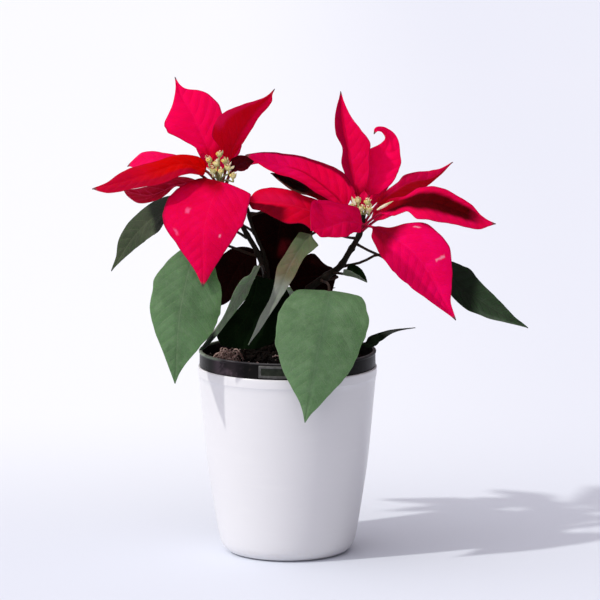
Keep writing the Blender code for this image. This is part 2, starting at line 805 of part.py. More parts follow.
def head(side, stem, bracts, target):
    """One flower head: its bracts round the stem's top and its cluster of small flowers."""
    look = material("bract_red", BRACT_RED, 0.5)
    _, length, _ = through(STEMS[stem]["path"])
    for name, spec in bracts.items():
        center, radius = stem_point(stem, 1 - spec["down"] / length[-1])
        leaf(f"bract_{side}_{name}", root_beside(center, radius, spec["path"][0]), spec, look, target)
    cup = material("cup_green", CUP_GREEN, 0.5)
    r, h = CUP_RADIUS, CUP_HEIGHT
    profile = [(0, h), (r * 0.6, h * 0.96), (r, h * 0.72), (r * 0.95, h * 0.4), (r * 0.5, h * 0.1), (0, 0)]
    for k, at in enumerate(CUPS[side], 1):
        low = (at[0], at[1], at[2] - h / 2)
        turned(f"cyathium_{side}_{k}", profile, target, cup, steps=CUP_STEPS, at=low)


def foliage(target):
    looks = {
        "right": material("leaf_dark", LEAF_DARK, 0.6),
        "olive": material("leaf_olive", LEAF_OLIVE, 0.6),
        "maroon": material("leaf_maroon", LEAF_MAROON, 0.6),
    }
    green = material("leaf_green", LEAF_GREEN, 0.6)
    for name, spec in LEAVES.items():
        center, radius = stem_point(spec["stem"], spec["at"])
        root = root_beside(center, radius, spec["path"][0])
        leaf(f"leaf_{name}", root, spec, looks.get(name, green), target)


def main():
    clear_scene()
    parts = bpy.data.collections.new(NAME)
    cutters = bpy.data.collections.new("cutters")
    bpy.context.scene.collection.children.link(parts)
    bpy.context.scene.collection.children.link(cutters)
    cover_pot(parts)
    nursery_pot(parts, cutters)
    soil(parts)
    stems(parts, cutters)
    head("left", "left", LEFT_BRACTS, parts)
    head("right", "right", RIGHT_BRACTS, parts)
    foliage(parts)


main()
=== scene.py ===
"""Looks of the potted poinsettia: veined leaves and bracts, small flowers, stems, growing medium, both pots,
floor, lights and camera. Lengths in the tables are millimetres; meshes are in metres.
"""

import math
import random

import bmesh
import bpy
import numpy as np
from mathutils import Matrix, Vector


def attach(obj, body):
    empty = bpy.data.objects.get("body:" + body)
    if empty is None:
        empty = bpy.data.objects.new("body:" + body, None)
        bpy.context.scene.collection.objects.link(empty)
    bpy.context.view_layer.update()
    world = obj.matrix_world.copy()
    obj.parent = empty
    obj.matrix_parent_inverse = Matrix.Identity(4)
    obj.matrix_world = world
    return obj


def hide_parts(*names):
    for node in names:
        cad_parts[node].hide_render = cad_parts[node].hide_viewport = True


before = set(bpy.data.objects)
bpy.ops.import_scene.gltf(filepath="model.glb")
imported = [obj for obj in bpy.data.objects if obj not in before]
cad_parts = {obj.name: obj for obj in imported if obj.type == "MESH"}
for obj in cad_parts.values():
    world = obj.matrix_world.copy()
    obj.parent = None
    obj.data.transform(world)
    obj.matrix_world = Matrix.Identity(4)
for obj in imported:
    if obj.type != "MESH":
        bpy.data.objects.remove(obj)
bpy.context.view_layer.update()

MM = 0.001
MERGE_DISTANCE = 0.00001
BODY = "root"

# Camera and light: places in metres, lens in millimetres, the key lamp's angles in degrees
CAMERA_AT = (0.0094, -3.0, 0.662)
CAMERA_AIM = (0.0094, 0.0, 0.1915)
CAMERA_LENS = 242.2
KEY_TURN = 28.0
KEY_RISE = 42.0
KEY_ANGLE = 2.2
KEY_STRENGTH = 1.8
KEY_COLOR = (1.0, 0.99, 0.93)
# Fill light on the side of FILL_FROM and on the far side, and the pale backdrop
FILL_HIGH = (1.225, 1.17, 1.245)
FILL_LOW = (0.045, 0.03, 0.036)
FILL_FROM = (-0.75, -0.3, 0.8)
FILL_START = -0.38
SKY_COLOR = (0.92, 0.935, 0.975)
# Floor: its colours at the left, at the right and near the viewer, a painted light falloff; size and height
# in metres
FLOOR_LEFT = (0.84, 0.872, 0.91)
FLOOR_RIGHT = (0.733, 0.768, 0.845)
FLOOR_NEAR = (0.7, 0.738, 0.82)
FLOOR_SIZE = 40.0
FLOOR_Z = -0.0002

# Pots and growing medium, the same sizes as in the solid model. TAB_: the frame on the collar.
COVER_HEIGHT = 142.0
COVER_RIM_RADIUS = 67.5
COVER_FOOT_RADIUS = 41.0
COVER_WALL = 2.6
COVER_FLOOR = 3.2
SEAT_GAP = 0.3
COLLAR_HEIGHT = 11.7
COLLAR_RADIUS = 66.4
SEAT = COVER_HEIGHT + SEAT_GAP
COLLAR_TOP = SEAT + COLLAR_HEIGHT
COLLAR_WALL = 2.0
BODY_TOP_RADIUS = 62.4
BODY_FOOT_RADIUS = 45.0
BODY_FOOT_Z = 18.0
BODY_WALL = 1.5
BODY_FLOOR_Z = BODY_FOOT_Z + BODY_WALL
TAB_WIDTH = 26.0
TAB_HEIGHT = 9.8
TAB_TURN = -7.5
TAB_BORDER = 2.2
TAB_RISE = 1.25
TAB_WELL = 0.75
SOIL_Z = 146.0
SOIL_RADIUS = 63.9
SOIL_RISE = 0.2
# Waves of the growing medium's surface: radians for each millimetre across and away, and height
SOIL_WAVES = ((0.07, 0.05, 1.1), (0.13, -0.11, 0.7), (0.29, 0.23, 0.4), (0.61, -0.47, 0.25), (1.1, 0.9, 0.14))
# Dry fibres in all, and how many of them lie in the heap at the left
FIBRE_COUNT = 64
FIBRES_LEFT = 44
TURN_STEPS = 160

# Leaves and bracts: mesh steps, then sizes, then shares of the half width for ripple, curl and notches
ALONG = 84
ACROSS = 30
PETIOLE_RINGS = 12
PETIOLE_RADIUS = 1.0
BLADE_END = 0.3
VEIN_SPACING = 9.0
VEIN_SLOPE = 0.75
VEIN_BEND = 0.012
BLADE_THICKNESS = 0.36
BLADE_ROOT = 5.0
LEAST_HALF_WIDTH = 0.25
QUILT_HEIGHT = 0.42
VEIN_DEPTH = 0.22
VEIN_WIDTH = 0.09
MIDRIB_DEPTH = 0.38
SIDE_REACH = 0.98
EDGE_WAVES = 0.9
EDGE_RIPPLE = 0.055
EDGE_CURL = 0.05
EDGE_NOTCH = 0.02
FIRST_SEED = 100
SEED_STEP = 7

# Swollen nodes, as shares of a stem's length
STEM_KNOTS = (0.16, 0.29, 0.43, 0.56, 0.68, 0.79, 0.88, 0.95)

# Stems: points along each, radius at its foot and at its top
STEMS = {
    "right": {
        "path": [
            (4, 5, 147.6), (4, 5, 158), (7, 4, 180), (15, 2, 198), (28, 0, 209),
            (39, -2, 217), (46, -3, 228), (54, -3, 242), (57, -1, 256),
        ],
        "radii": (3.7, 1.7),
    },
    "left": {
        "path": [
            (4, 5, 154), (-8, 3, 180), (-15, 0, 206), (-22, -3, 227),
            (-32, -5, 245), (-43, -7, 266), (-51, -7, 281),
        ],
        "radii": (2.8, 1.4),
    },
    "shoot": {
        "path": [(-14, 1, 203), (-17, -1, 224), (-26, -3, 246), (-30, -2, 262)],
        "radii": (1.5, 1.0),
    },
}

# Bracts. down: how far below the stem's top it leaves the stem. path: where the blade begins, points
# along its middle and its tip. face: which way its upper side looks. fold: degrees that each half rises
# from flat. left and right: widths of its halves at OUTLINE_AT, shares of the blade's length; right is
# left out where both are alike. lobe: how far the base's shoulders reach back, as a share of the half
# width.
OUTLINE_AT = (0.05, 0.12, 0.22, 0.34, 0.48, 0.62, 0.76, 0.87, 0.94)
LEFT_BRACTS = {
    "upper": dict(
        down=1, fold=8, face=(0.1, -1, 0.25),
        path=[(-56, 3, 296), (-63.5, 7, 314), (-71.5, 12, 331.5), (-80, 17, 344.5), (-84.5, 20, 358)],
        left=(2, 4.5, 9, 15.9, 23.8, 22.2, 8.1, 2.4, 0.9),
        right=(7, 14, 20, 20, 21.2, 18.1, 12, 3.7, 1.1),
    ),
    "folded": dict(
        down=3, fold=14, face=(0.5, -0.85, 0.1),
        path=[(-45, 4, 294), (-38, 8, 311), (-25, 13, 331.5), (-14.5, 16, 342.5), (-9.5, 18, 349)],
        left=(5, 10, 24, 26.1, 22.2, 14.2, 6.1, 2.4, 1.2),
        right=(2.2, 3.1, 4.4, 5.4, 5.4, 5.1, 5.3, 4.2, 0.9),
    ),
    "side": dict(
        down=3, lobe=0.45, fold=8, face=(0.1, -0.45, 1),
        path=[(-61, -9, 290.5), (-78.5, -12, 296), (-102, -20, 290), (-125, -26, 284), (-145, -28, 279.5)],
        left=(9, 13, 16.2, 18.3, 20.1, 17.5, 15.2, 11.9, 6.7),
        right=(9, 12.5, 12.1, 11.3, 12.5, 11.8, 9.2, 3.3, 1.3),
    ),
    "side_back": dict(
        down=7, fold=5, face=(0, -0.5, 1),
        path=[(-64, -2, 286), (-82.5, 14, 296), (-102.5, 26, 295), (-121.5, 36, 288.5)],
        left=(3, 6, 10, 10.5, 13.9, 13.2, 12.2, 7.7, 3.2),
        right=(3, 6, 10, 4.6, 6.4, 9.4, 12.8, 13.4, 8.4),
    ),
    "side_low": dict(
        down=13, fold=4, face=(0, 0.6, 1),
        path=[(-63, -5, 279), (-82, -7, 280.5), (-102.5, -9, 273), (-122.5, -11, 276.5)],
        left=(3, 7, 11, 13.2, 11.9, 14.5, 12, 5.9, 2.3),
        right=(3, 7, 11, 4.6, 9.2, 13, 18.7, 13.4, 8.4),
    ),
    "hanging": dict(
        down=6, lobe=0.35, fold=-5, face=(-0.1, -1, 0.4),
        path=[
            (-49, -18, 283), (-56.5, -33, 269.5), (-61.5, -45, 251), (-62, -50, 229), (-62.5, -52, 209.5),
        ],
        left=(23, 26, 26.6, 27.9, 25.4, 20.1, 12.3, 6.7, 3.4),
        right=(14, 22, 30.2, 33.3, 31.7, 21.4, 12.5, 6, 2.7),
    ),
    "small": dict(
        down=5, fold=10, face=(0, -0.8, 1),
        path=[(-42, -2, 289), (-34, 2, 295), (-24, 5, 298)],
        left=(2.6, 4.4, 6.3, 7.7, 7.7, 6.5, 4.7, 2.9, 1.5),
        right=(2.9, 5, 7.1, 8.6, 8.7, 7.4, 5.3, 3.3, 1.7),
    ),
    "back_left": dict(
        down=9, fold=6, face=(0, -0.2, 1),
        path=[(-51, 9, 285), (-53, 44, 310), (-58, 84, 313)],
        left=(6.4, 10.7, 14.7, 17.5, 17.3, 14.4, 10.1, 5.8, 2.8),
    ),
    "back_right": dict(
        down=9, fold=6, face=(0, 0, 1),
        path=[(-41, 5, 288), (-13.5, 38, 293.5), (11.5, 76, 283.5)],
        left=(1.5, 2.5, 6, 14.5, 14.4, 12, 8.4, 4.9, 2.3),
    ),
}

RIGHT_BRACTS = {
    "upper_left": dict(
        down=1, fold=30, face=(0.15, -1, 0.2),
        path=[(53, 7, 268), (49, 13, 288.5), (44.5, 17, 312), (41.5, 20, 330.5), (40, 22, 347)],
        left=(3, 5, 8, 9.4, 6, 9.8, 8, 4.8, 2.1),
        right=(6, 10, 13, 15.3, 18, 12.1, 6.3, 2.9, 1.2),
    ),
    "hooked": dict(
        down=3, fold=6, face=(0, -1, 0.2),
        path=[
            (61, 9, 269), (70, 22, 292), (76.5, 25, 308.5), (73, 22.5, 316.5), (67.5, 18, 318.5),
            (65, 15, 315.5),
        ],
        left=(6, 10, 15, 16, 13, 6, 2.5, 1.7, 1.4),
        right=(6, 9, 13, 15, 14.5, 10, 4.5, 2.4, 1.8),
    ),
    "narrow": dict(
        down=6, fold=8, face=(0, -0.7, 1),
        path=[(67, 3, 263), (79.5, 12, 272), (93, 20, 278.5), (110, 28, 281), (125, 34, 292)],
        left=(3.8, 3.9, 4.5, 4.6, 8.3, 8.7, 6.6, 2.5, 1),
        right=(4.4, 9.3, 14.1, 15, 14.4, 8.5, 2.7, 1.6, 0.8),
    ),
    "long": dict(
        down=8, fold=10, face=(0, -0.8, 1),
        path=[
            (69, -7, 258), (88, -8, 265.5), (107, -10, 267), (125, -10, 261), (141, -9, 255),
            (156, -8, 250.5),
        ],
        left=(5, 9, 7.4, 13.4, 15.5, 13.6, 10.3, 3.7, 1.1),
        right=(5, 9, 8.7, 20.3, 21.6, 18, 14.6, 11.6, 5.5),
    ),
    "hanging": dict(
        down=11, fold=9, face=(0.25, -1, 0.4),
        path=[(63, -14, 249), (87.5, -28, 237.5), (103.5, -36, 220.5), (117, -44, 196), (125, -46, 183.5)],
        left=(2.7, 4.8, 14.5, 23.9, 23.7, 18.3, 10.4, 3.9, 2),
        right=(8.1, 13.3, 19.2, 22.3, 22.9, 19.3, 12.1, 5.6, 2.3),
    ),
    "arching": dict(
        down=4, fold=6, face=(0, -0.7, 1),
        path=[(45, -8, 261), (32, -8, 274.5), (11.5, -8, 289.5), (-9.5, -4, 295), (-31.5, 0, 301.5)],
        left=(4, 6, 8, 11, 11.2, 11.1, 8.9, 5.2, 2.7),
        right=(16.3, 18.2, 21.5, 19.3, 15.2, 14.1, 12.2, 8.4, 4.4),
    ),
    "dark": dict(
        down=7, fold=4, face=(0, -0.6, 1),
        path=[(43, 1, 258), (22, 1, 272), (6.5, 3, 277.5), (-12.5, 2, 287.5)],
        left=(1.7, 3, 4.4, 5.6, 6.6, 7, 5.7, 3.8, 2.2),
        right=(2, 3.5, 5, 6.4, 7.5, 7.9, 6.5, 4.3, 2.5),
    ),
    "low_left": dict(
        down=9, lobe=0.4, fold=4, face=(-0.1, -1, 0.38),
        path=[(55.5, -14, 251.5), (43.5, -27, 254.5), (29.5, -38, 251.5), (17.5, -46, 251)],
        left=(4, 8, 8.1, 10.1, 11.5, 9.8, 7.2, 6.2, 2.1),
        right=(7, 11, 12.5, 15, 20.8, 23.1, 23.3, 21.4, 13.7),
    ),
    "between": dict(
        down=11, fold=5, face=(0, -0.8, 0.8),
        path=[(45, -7, 249), (23, -19, 259.5), (0.5, -24, 267), (-29.5, -22, 269.5)],
        left=(1.5, 4.3, 12.1, 19.4, 13.8, 17, 12.9, 8.8, 7.8),
        right=(2.3, 12.4, 14.4, 12.8, 12, 14, 14.9, 12.3, 9),
    ),
    "back": dict(
        down=7, fold=6, face=(0, -0.1, 1),
        path=[(56, 12, 257), (62, 44, 284), (58, 88, 285)],
        left=(6.4, 10.7, 14.7, 17.5, 17.3, 14.4, 10.1, 5.8, 2.8),
    ),
    "back_right": dict(
        down=12, fold=6, face=(0, 0, 1),
        path=[(65, 7, 250), (92, 42, 265), (114, 78, 262)],
        left=(5.4, 8.9, 12.2, 14.5, 14.4, 12, 8.4, 4.9, 2.3),
    ),
}

# Green leaves. stem and at: where the petiole leaves, as a share of that stem's length. via: points that
# the petiole passes.
LEAVES = {
    "left_back": dict(
        stem="left", at=0.66, fold=8, face=(-0.3, -0.6, 0.8),
        via=[(-60, 8, 256)],
        path=[(-76, 17, 266), (-110, 27, 243), (-134, 30, 209)],
        left=(5, 9, 13.6, 21.5, 17.6, 12.5, 7.4, 3.5, 1.4),
        right=(5, 9, 13.1, 15.4, 15.4, 13.3, 9.5, 3.9, 2),
    ),
    "left_front": dict(
        stem="left", at=0.55, lobe=0.2, fold=-4, face=(-0.1, -1, 0.3),
        path=[(-62, -30, 238), (-78, -50, 198), (-83, -64, 139)],
        left=(4.8, 15.1, 21.2, 27.7, 29.4, 25.9, 15.3, 6.6, 2.4),
        right=(6, 12, 19.1, 24.8, 23.5, 19, 12.3, 6.7, 3.2),
    ),
    "left_edge": dict(
        stem="left", at=0.45, fold=20, face=(0.9, 0.1, 0.4),
        path=[(-20.5, -30, 222), (-31.5, -44, 207.5), (-44.5, -58, 190), (-64, -70, 165)],
        left=(1.5, 3, 5, 6.4, 5.9, 5.9, 5.8, 4.6, 3.6),
        right=(2.4, 9.7, 14.1, 16.4, 17.1, 15.1, 11.6, 7.9, 5.1),
    ),
    "shade": dict(
        stem="left", at=0.36, fold=5, face=(-0.3, -0.8, 0.4),
        path=[(-21.5, -12, 211.5), (-25, -22, 196.5), (-33, -31, 180), (-49.5, -38, 163.5)],
        left=(13.8, 21.1, 27.8, 31.9, 33.2, 29.8, 22.4, 14.6, 8.5),
        right=(2.5, 4, 5.4, 6.4, 8.9, 10.6, 10.8, 9.9, 8.5),
    ),
    "olive": dict(
        stem="right", at=0.86, fold=10, face=(-0.5, -0.8, 0.2),
        via=[(44, -12, 241), (32, -21, 245.5)],
        path=[
            (18.5, -27, 245.5), (3.5, -34, 225.5), (-7, -41, 202.5), (-17.5, -49, 185), (-29, -55, 166.5),
        ],
        left=(12.1, 10.9, 8.3, 8.6, 5.8, 3.8, 2.7, 2.1, 1.1),
        right=(8.7, 8.4, 8, 9.1, 6, 3.8, 3.5, 1.7, 0.8),
    ),
    "front": dict(
        stem="right", at=0.52, lobe=0.25, fold=-4, face=(0, -1, 0.3),
        path=[(31, -48, 206), (23, -77, 168), (13, -87, 114)],
        left=(24, 29.3, 32.2, 31.6, 29.2, 24.1, 15.5, 8.3, 3.1),
        right=(22.8, 28.1, 32.2, 34, 32.2, 25.8, 15.6, 6.5, 2.6),
    ),
    "low_right": dict(
        stem="right", at=0.2, fold=-8, face=(0, -0.4, 1),
        path=[(54.5, 9, 157), (65.5, 14, 161), (78.5, 21, 164.5), (97, 26, 166.5)],
        left=(2, 3, 3.6, 3.6, 3, 2.2, 1.4, 0.8, 0.5),
        right=(3, 5, 6.5, 6, 4.3, 2.7, 1.6, 1, 0.6),
    ),
    "right": dict(
        stem="right", at=0.66, fold=8, face=(0, -0.7, 0.9),
        via=[(56, 2, 220), (68, 6, 225), (92.5, 12, 224.5)],
        path=[(113.5, 16, 216.5), (132, 24, 198.5), (155.5, 34, 180), (183.5, 38, 164)],
        left=(6, 11.6, 15, 17.8, 16.8, 13.2, 7.9, 3, 1.6),
        right=(6, 12, 19.6, 20.1, 16.7, 12.8, 7.9, 4.5, 2.2),
    ),
    "small": dict(
        stem="right", at=0.6, fold=60, face=(0, -0.42, 0.9),
        path=[(41, -10, 213), (50, -16, 212), (59.5, -22, 208.5)],
        left=(3.2, 5.3, 7.3, 8.7, 8.7, 7.5, 5.6, 3.6, 2),
    ),
    "maroon": dict(
        stem="left", at=0.42, fold=5, face=(-0.2, -1, 0.4),
        path=[(-21.5, 8, 225.5), (-34.5, 13, 217.5), (-44, 15, 201.5), (-52, 16, 184.5)],
        left=(14.1, 13, 13.4, 13.3, 12.1, 10.2, 8.3, 5.9, 3.6),
        right=(2.9, 6.9, 11.5, 15.2, 17.2, 16.9, 14.3, 10.5, 7.6),
    ),
    "inner": dict(
        stem="shoot", at=0.9, fold=4, face=(0, -1, 0.25),
        via=[(-19, 6, 257.5)],
        path=[(-5, 12, 260.5), (-6.5, 15, 241), (-11, 14, 218.5), (-16.5, 11, 199)],
        left=(14.7, 25, 25.5, 22.4, 17.2, 14, 12.9, 12.2, 11.8),
        right=(21.3, 25.8, 25.5, 19.7, 13.5, 9.8, 10, 10.4, 9.8),
    ),
    "cluster": dict(
        stem="right", at=0.5, fold=0, face=(0, -1, 0.5),
        path=[(37.5, 9, 207.5), (27.5, 11, 207.5), (14.5, 12, 207), (0.5, 12, 202)],
        left=(10.8, 12.9, 14.7, 15.5, 15.9, 15.7, 14.7, 11, 8),
        right=(4.5, 7.6, 9.5, 12.6, 18.4, 16.6, 9.5, 6.4, 4.3),
    ),
    "back_left": dict(
        stem="left", at=0.22, fold=5, face=(0, 0.1, 1),
        path=[(-36, 38, 212), (-66, 68, 205), (-96, 98, 172)],
        left=(8.6, 13.8, 18.5, 21.5, 21.2, 18, 13, 8, 4.1),
    ),
    "back": dict(
        stem="right", at=0.3, fold=5, face=(0, 0.2, 1),
        path=[(18, 38, 190), (12, 76, 186), (4, 118, 150)],
        left=(9.4, 15.1, 20.1, 23.4, 23.1, 19.6, 14.2, 8.7, 4.5),
    ),
    "back_right": dict(
        stem="right", at=0.82, fold=5, face=(0, 0.1, 1),
        via=[(60.5, 6, 228.5), (70, 18, 222.5)],
        path=[(82.5, 36, 213.5), (105.5, 68, 202), (123.5, 100, 178)],
        left=(4, 8, 15.1, 17.6, 17.4, 14.7, 10.7, 6.5, 3.4),
    ),
    "back_high": dict(
        stem="shoot", at=0.7, fold=5, face=(0, 0.1, 1),
        via=[(-37.5, 14, 249)],
        path=[(-49, 34, 257), (-58, 68, 256), (-64.5, 104, 234)],
        left=(7.8, 12.6, 16.8, 19.5, 19.3, 16.3, 11.8, 7.2, 3.7),
    ),
}

# Small flowers: where each cup's centre is, and how many scales and threads stand among them
CUP_RADIUS = 2.2
CUP_HEIGHT = 5.0
CUP_SHARE = 0.86
STAMENS = 7
TUFT_COUNT = {"left": 42, "right": 30}
CUPS = {
    "left": [
        (-51, -2, 302), (-58.5, -5, 298), (-53, -8, 295.5), (-46.5, -3, 297),
        (-55.5, -11, 290.5), (-49.5, -12, 290.5), (-44, -9, 292.5), (-40.5, -12, 287),
    ],
    "right": [(53, -2, 267), (60, -4, 266), (61, -7, 261), (49, -4, 263), (55, -9, 262)],
}

# Tints of the bracts' upper sides: red and blue share, how clear the veins are, and zones. Most zones are
# painted shade or painted light, such as darker shadowed halves and feet and paler lit flaps; the small
# pink flecks and scratches are the bracts' own marks. The nearly black or dark red tints of left_small,
# right_dark and left_side_low are painted shade.
# A zone: from and to along the blade, from and to across it, softness of its border, colour, how much.
BRACT_TINTS = {
    "left_upper": (0.82, 0.073, 0.1, [(0, 0.16, 0, 1, 0.09, (0.6, 0, 0.02), 0.9)]),
    # painted shade on most of its face, with painted light on the upper flap and along one edge
    "left_folded": (
        0.53, 0.012, 0.14,
        [(0.3, 1, 0.55, 1, 0.14, (0.68, 0, 0.05), 0.9), (0.3, 0.9, 0, 0.14, 0.05, (0.7, 0.005, 0.08), 0.8)],
    ),
    "left_side": (
        0.5, 0.0, 0.12,
        [(0.55, 1, 0, 1, 0.2, (0.4, 0, 0.025), 0.8), (0.1, 1, 0, 0.24, 0.06, (0.34, 0, 0.02), 0.8)],
    ),
    "left_side_back": (0.69, 0.072, 0.1, []),
    "left_side_low": (
        0.12, 0.008, 0.3,
        [(0.1, 0.85, 0.44, 0.52, 0.03, (0.5, 0.05, 0.1), 0.6), (0, 1, 0, 0.3, 0.1, (0.12, 0, 0.008), 0.7)],
    ),
    "left_hanging": (
        0.72, 0.058, 0.1,
        [
            (0, 0.13, 0.42, 1, 0.07, (0.4, 0, 0.012), 0.95),
            (0, 0.1, 0.6, 1, 0.05, (0.22, 0, 0.006), 0.9),
            (0.34, 0.38, 0.7, 0.75, 0.014, (0.86, 0.12, 0.3), 0.7),
            (0.52, 0.56, 0.86, 0.9, 0.014, (0.86, 0.12, 0.3), 0.6),
            (0.54, 0.57, 0.22, 0.25, 0.012, (0.86, 0.3, 0.42), 0.9),
            (0.9, 1, 0, 1, 0.05, (0.6, 0.004, 0.05), 0.8),
        ],
    ),
    # painted shade: nearly black
    "left_small": (0.03, 0.002, 0.1, []),
    "left_back_left": (0.78, 0.068, 0.16, []),
    "left_back_right": (0.78, 0.068, 0.16, []),
    "right_upper_left": (
        0.7, 0.058, 0.12,
        [(0, 1, 0, 0.4, 0.05, (0.32, 0, 0.036), 0.95), (0, 0.1, 0, 1, 0.07, (0.3, 0, 0.01), 0.8)],
    ),
    "right_hooked": (0.95, 0.085, 0.08, [(0, 0.1, 0, 1, 0.08, (0.45, 0, 0.02), 0.8)]),
    "right_narrow": (
        0.46, 0.044, 0.14,
        [(0, 1, 0.52, 1, 0.08, (0.24, 0, 0.003), 0.97), (0, 0.2, 0, 1, 0.1, (0.2, 0, 0.003), 0.9)],
    ),
    # painted shadow: a dark maroon zone along most of its middle
    "right_long": (
        0.66, 0.06, 0.12,
        [(0.02, 0.84, 0.2, 0.74, 0.09, (0.056, 0, 0.0012), 1), (0, 0.2, 0, 0.5, 0.1, (0.3, 0, 0.008), 0.85)],
    ),
    "right_hanging": (
        0.79, 0.092, 0.1,
        [
            (0.12, 0.93, 0.74, 1, 0.05, (0.54, 0, 0.058), 0.9),
            (0, 0.22, 0, 0.85, 0.06, (0.13, 0, 0.006), 0.95),
            (0, 0.26, 0.78, 1, 0.05, (0.26, 0, 0.018), 0.9),
            (0.27, 0.31, 0.1, 0.13, 0.012, (0.86, 0.3, 0.42), 0.9),
            (0.535, 0.55, 0.12, 0.3, 0.012, (0.88, 0.35, 0.46), 0.9),
        ],
    ),
    "right_arching": (
        0.86, 0.055, 0.12,
        [
            (0.5, 1, 0, 1, 0.2, (0.56, 0, 0.066), 0.9),
            (0.12, 0.96, 0.9, 1, 0.03, (0.12, 0, 0.014), 0.9),
            (0.08, 0.62, 0.47, 0.53, 0.03, (0.4, 0, 0.02), 0.8),
            (0, 1, 0, 0.12, 0.05, (0.55, 0, 0.03), 0.6),
        ],
    ),
    # painted shade: nearly black, with a red foot and a paler olive line near one edge
    "right_dark": (
        0.006, 0.0005, 0.05,
        [(0, 0.42, 0, 1, 0.16, (0.24, 0, 0.01), 0.95), (0.5, 0.92, 0, 0.14, 0.05, (0.14, 0.11, 0.075), 0.9)],
    ),
    "right_low_left": (0.66, 0.058, 0.14, [(0, 1, 0.86, 1, 0.06, (0.5, 0, 0.05), 0.6)]),
    "right_between": (
        0.61, 0.024, 0.22,
        [
            (0.64, 1, 0, 0.4, 0.06, (0.1, 0, 0.006), 0.95),
            (0.1, 0.62, 0.76, 1, 0.08, (0.2, 0, 0.008), 0.9),
            (0.55, 0.95, 0.5, 0.8, 0.12, (0.58, 0.004, 0.06), 0.6),
        ],
    ),
    "right_back": (0.78, 0.068, 0.16, []),
    "right_back_right": (0.78, 0.068, 0.16, []),
}

# Bracts with a blunt end, which has no dry tip
BLUNT_BRACTS = ("right_low_left", "right_between")

# How the light treats bracts, and lit, shaded and dark leaves
BRACT_SHEEN = dict(gloss=0.5, through=0.3, tint=(1.0, 0.03, 0.06), shine=0.018, rim=(0.2, 0.003, 0.045))
LIT = dict(gloss=0.5, through=0.12, tint=(0.4, 1.0, 0.2), shine=0.2)
DUSK = dict(gloss=0.45, through=0.05, tint=(0.4, 1.0, 0.2), shine=0.1)
NIGHT = dict(gloss=0.6, through=0.03, tint=(1.0, 0.3, 0.2), shine=0.015)
DRY_TIP = (0.13, 0.075, 0.07)

# Leaf looks: base, deep, pale and vein colour, how clear the side veins and the net are, light, zones.
# Several looks are painted shade, darkened or nearly black for leaves that lie in shade.
PALE_UNDERSIDE = (0.15, 0.175, 0.125), (0.115, 0.145, 0.098), (0.21, 0.235, 0.175), (0.24, 0.27, 0.19)
LEAF_TINTS = {
    "top": (
        ((0.085, 0.16, 0.071), (0.06, 0.116, 0.05), (0.128, 0.208, 0.106), (0.16, 0.23, 0.125)),
        0.2, 0.18, LIT, [],
    ),
    "under": (PALE_UNDERSIDE, 0.5, 0.25, LIT, []),
    # painted shade: a darker green for the left back leaf, with a nearly black foot
    "deep": (
        ((0.036, 0.047, 0.024), (0.024, 0.034, 0.017), (0.058, 0.072, 0.04), (0.08, 0.095, 0.055)),
        0.4, 0.2, DUSK, [
            (0, 0.45, 0.55, 1, 0.1, (0.012, 0.016, 0.01), 0.5),
            (0, 0.37, 0, 1, 0.03, (0.003, 0.005, 0.002), 0.95),
        ],
    ),
    # painted shade: nearly black, its outer half grey green
    "painted_shade_grey_tip": (
        ((0.004, 0.008, 0.004), (0.0025, 0.005, 0.0025), (0.008, 0.014, 0.008), (0.014, 0.024, 0.013)),
        0.3, 0.2, NIGHT, [(0.55, 1, 0, 1, 0.16, (0.09, 0.105, 0.095), 0.9)],
    ),
    # pale underside with a nearly black lower end of painted shade
    "edge": (PALE_UNDERSIDE, 0.5, 0.25, LIT, [(0.8, 1, 0, 1, 0.03, (0.002, 0.004, 0.002), 1)]),
    "front": (
        ((0.09, 0.17, 0.076), (0.066, 0.128, 0.055), (0.13, 0.215, 0.11), (0.17, 0.24, 0.135)),
        0.12, 0.2, LIT, [
            (0, 0.86, 0.44, 0.54, 0.05, (0.048, 0.11, 0.05), 0.3),
            (0, 0.07, 0, 1, 0.05, (0.06, 0.12, 0.05), 0.5),
        ],
    ),
    # painted shade: a darker green, with a nearly black painted shadow over the half towards its foot and a
    # paler edge band
    "painted_shade_dim": (
        ((0.041, 0.068, 0.035), (0.027, 0.05, 0.024), (0.062, 0.096, 0.053), (0.08, 0.12, 0.065)),
        0.35, 0.2, DUSK, [
            (0, 0.46, 0, 1, 0.07, (0.005, 0.009, 0.004), 0.95),
            (0.5, 1, 0.86, 1, 0.04, (0.1, 0.13, 0.095), 0.6),
        ],
    ),
    # painted shade: nearly black
    "shade_top": (
        ((0.0018, 0.006, 0.0014), (0.001, 0.0035, 0.0008), (0.003, 0.009, 0.0025), (0.006, 0.014, 0.004)),
        0.3, 0.15, NIGHT, [],
    ),
    "olive_top": (
        ((0.11, 0.083, 0.042), (0.055, 0.078, 0.032), (0.17, 0.085, 0.06), (0.13, 0.13, 0.085)),
        0.35, 0.2, LIT, [
            (0.44, 1, 0, 1, 0.08, (0.2, 0.225, 0.19), 0.9),
            (0, 0.2, 0, 1, 0.08, (0.06, 0.095, 0.04), 0.7),
        ],
    ),
    # painted shade: a nearly black maroon
    "maroon_painted_shade": (
        ((0.006, 0.001, 0.0008), (0.003, 0.0006, 0.0005), (0.013, 0.0016, 0.0012), (0.02, 0.003, 0.0025)),
        0.3, 0.15, NIGHT, [],
    ),
    # painted shade: nearly black, with a red spot of painted light
    "inner_painted_shade": (
        ((0.005, 0.001, 0.0008), (0.003, 0.0006, 0.0005), (0.01, 0.0016, 0.0012), (0.015, 0.003, 0.0025)),
        0.3, 0.15, NIGHT, [(0.42, 0.58, 0.26, 0.44, 0.07, (0.11, 0.006, 0.01), 0.85)],
    ),
}

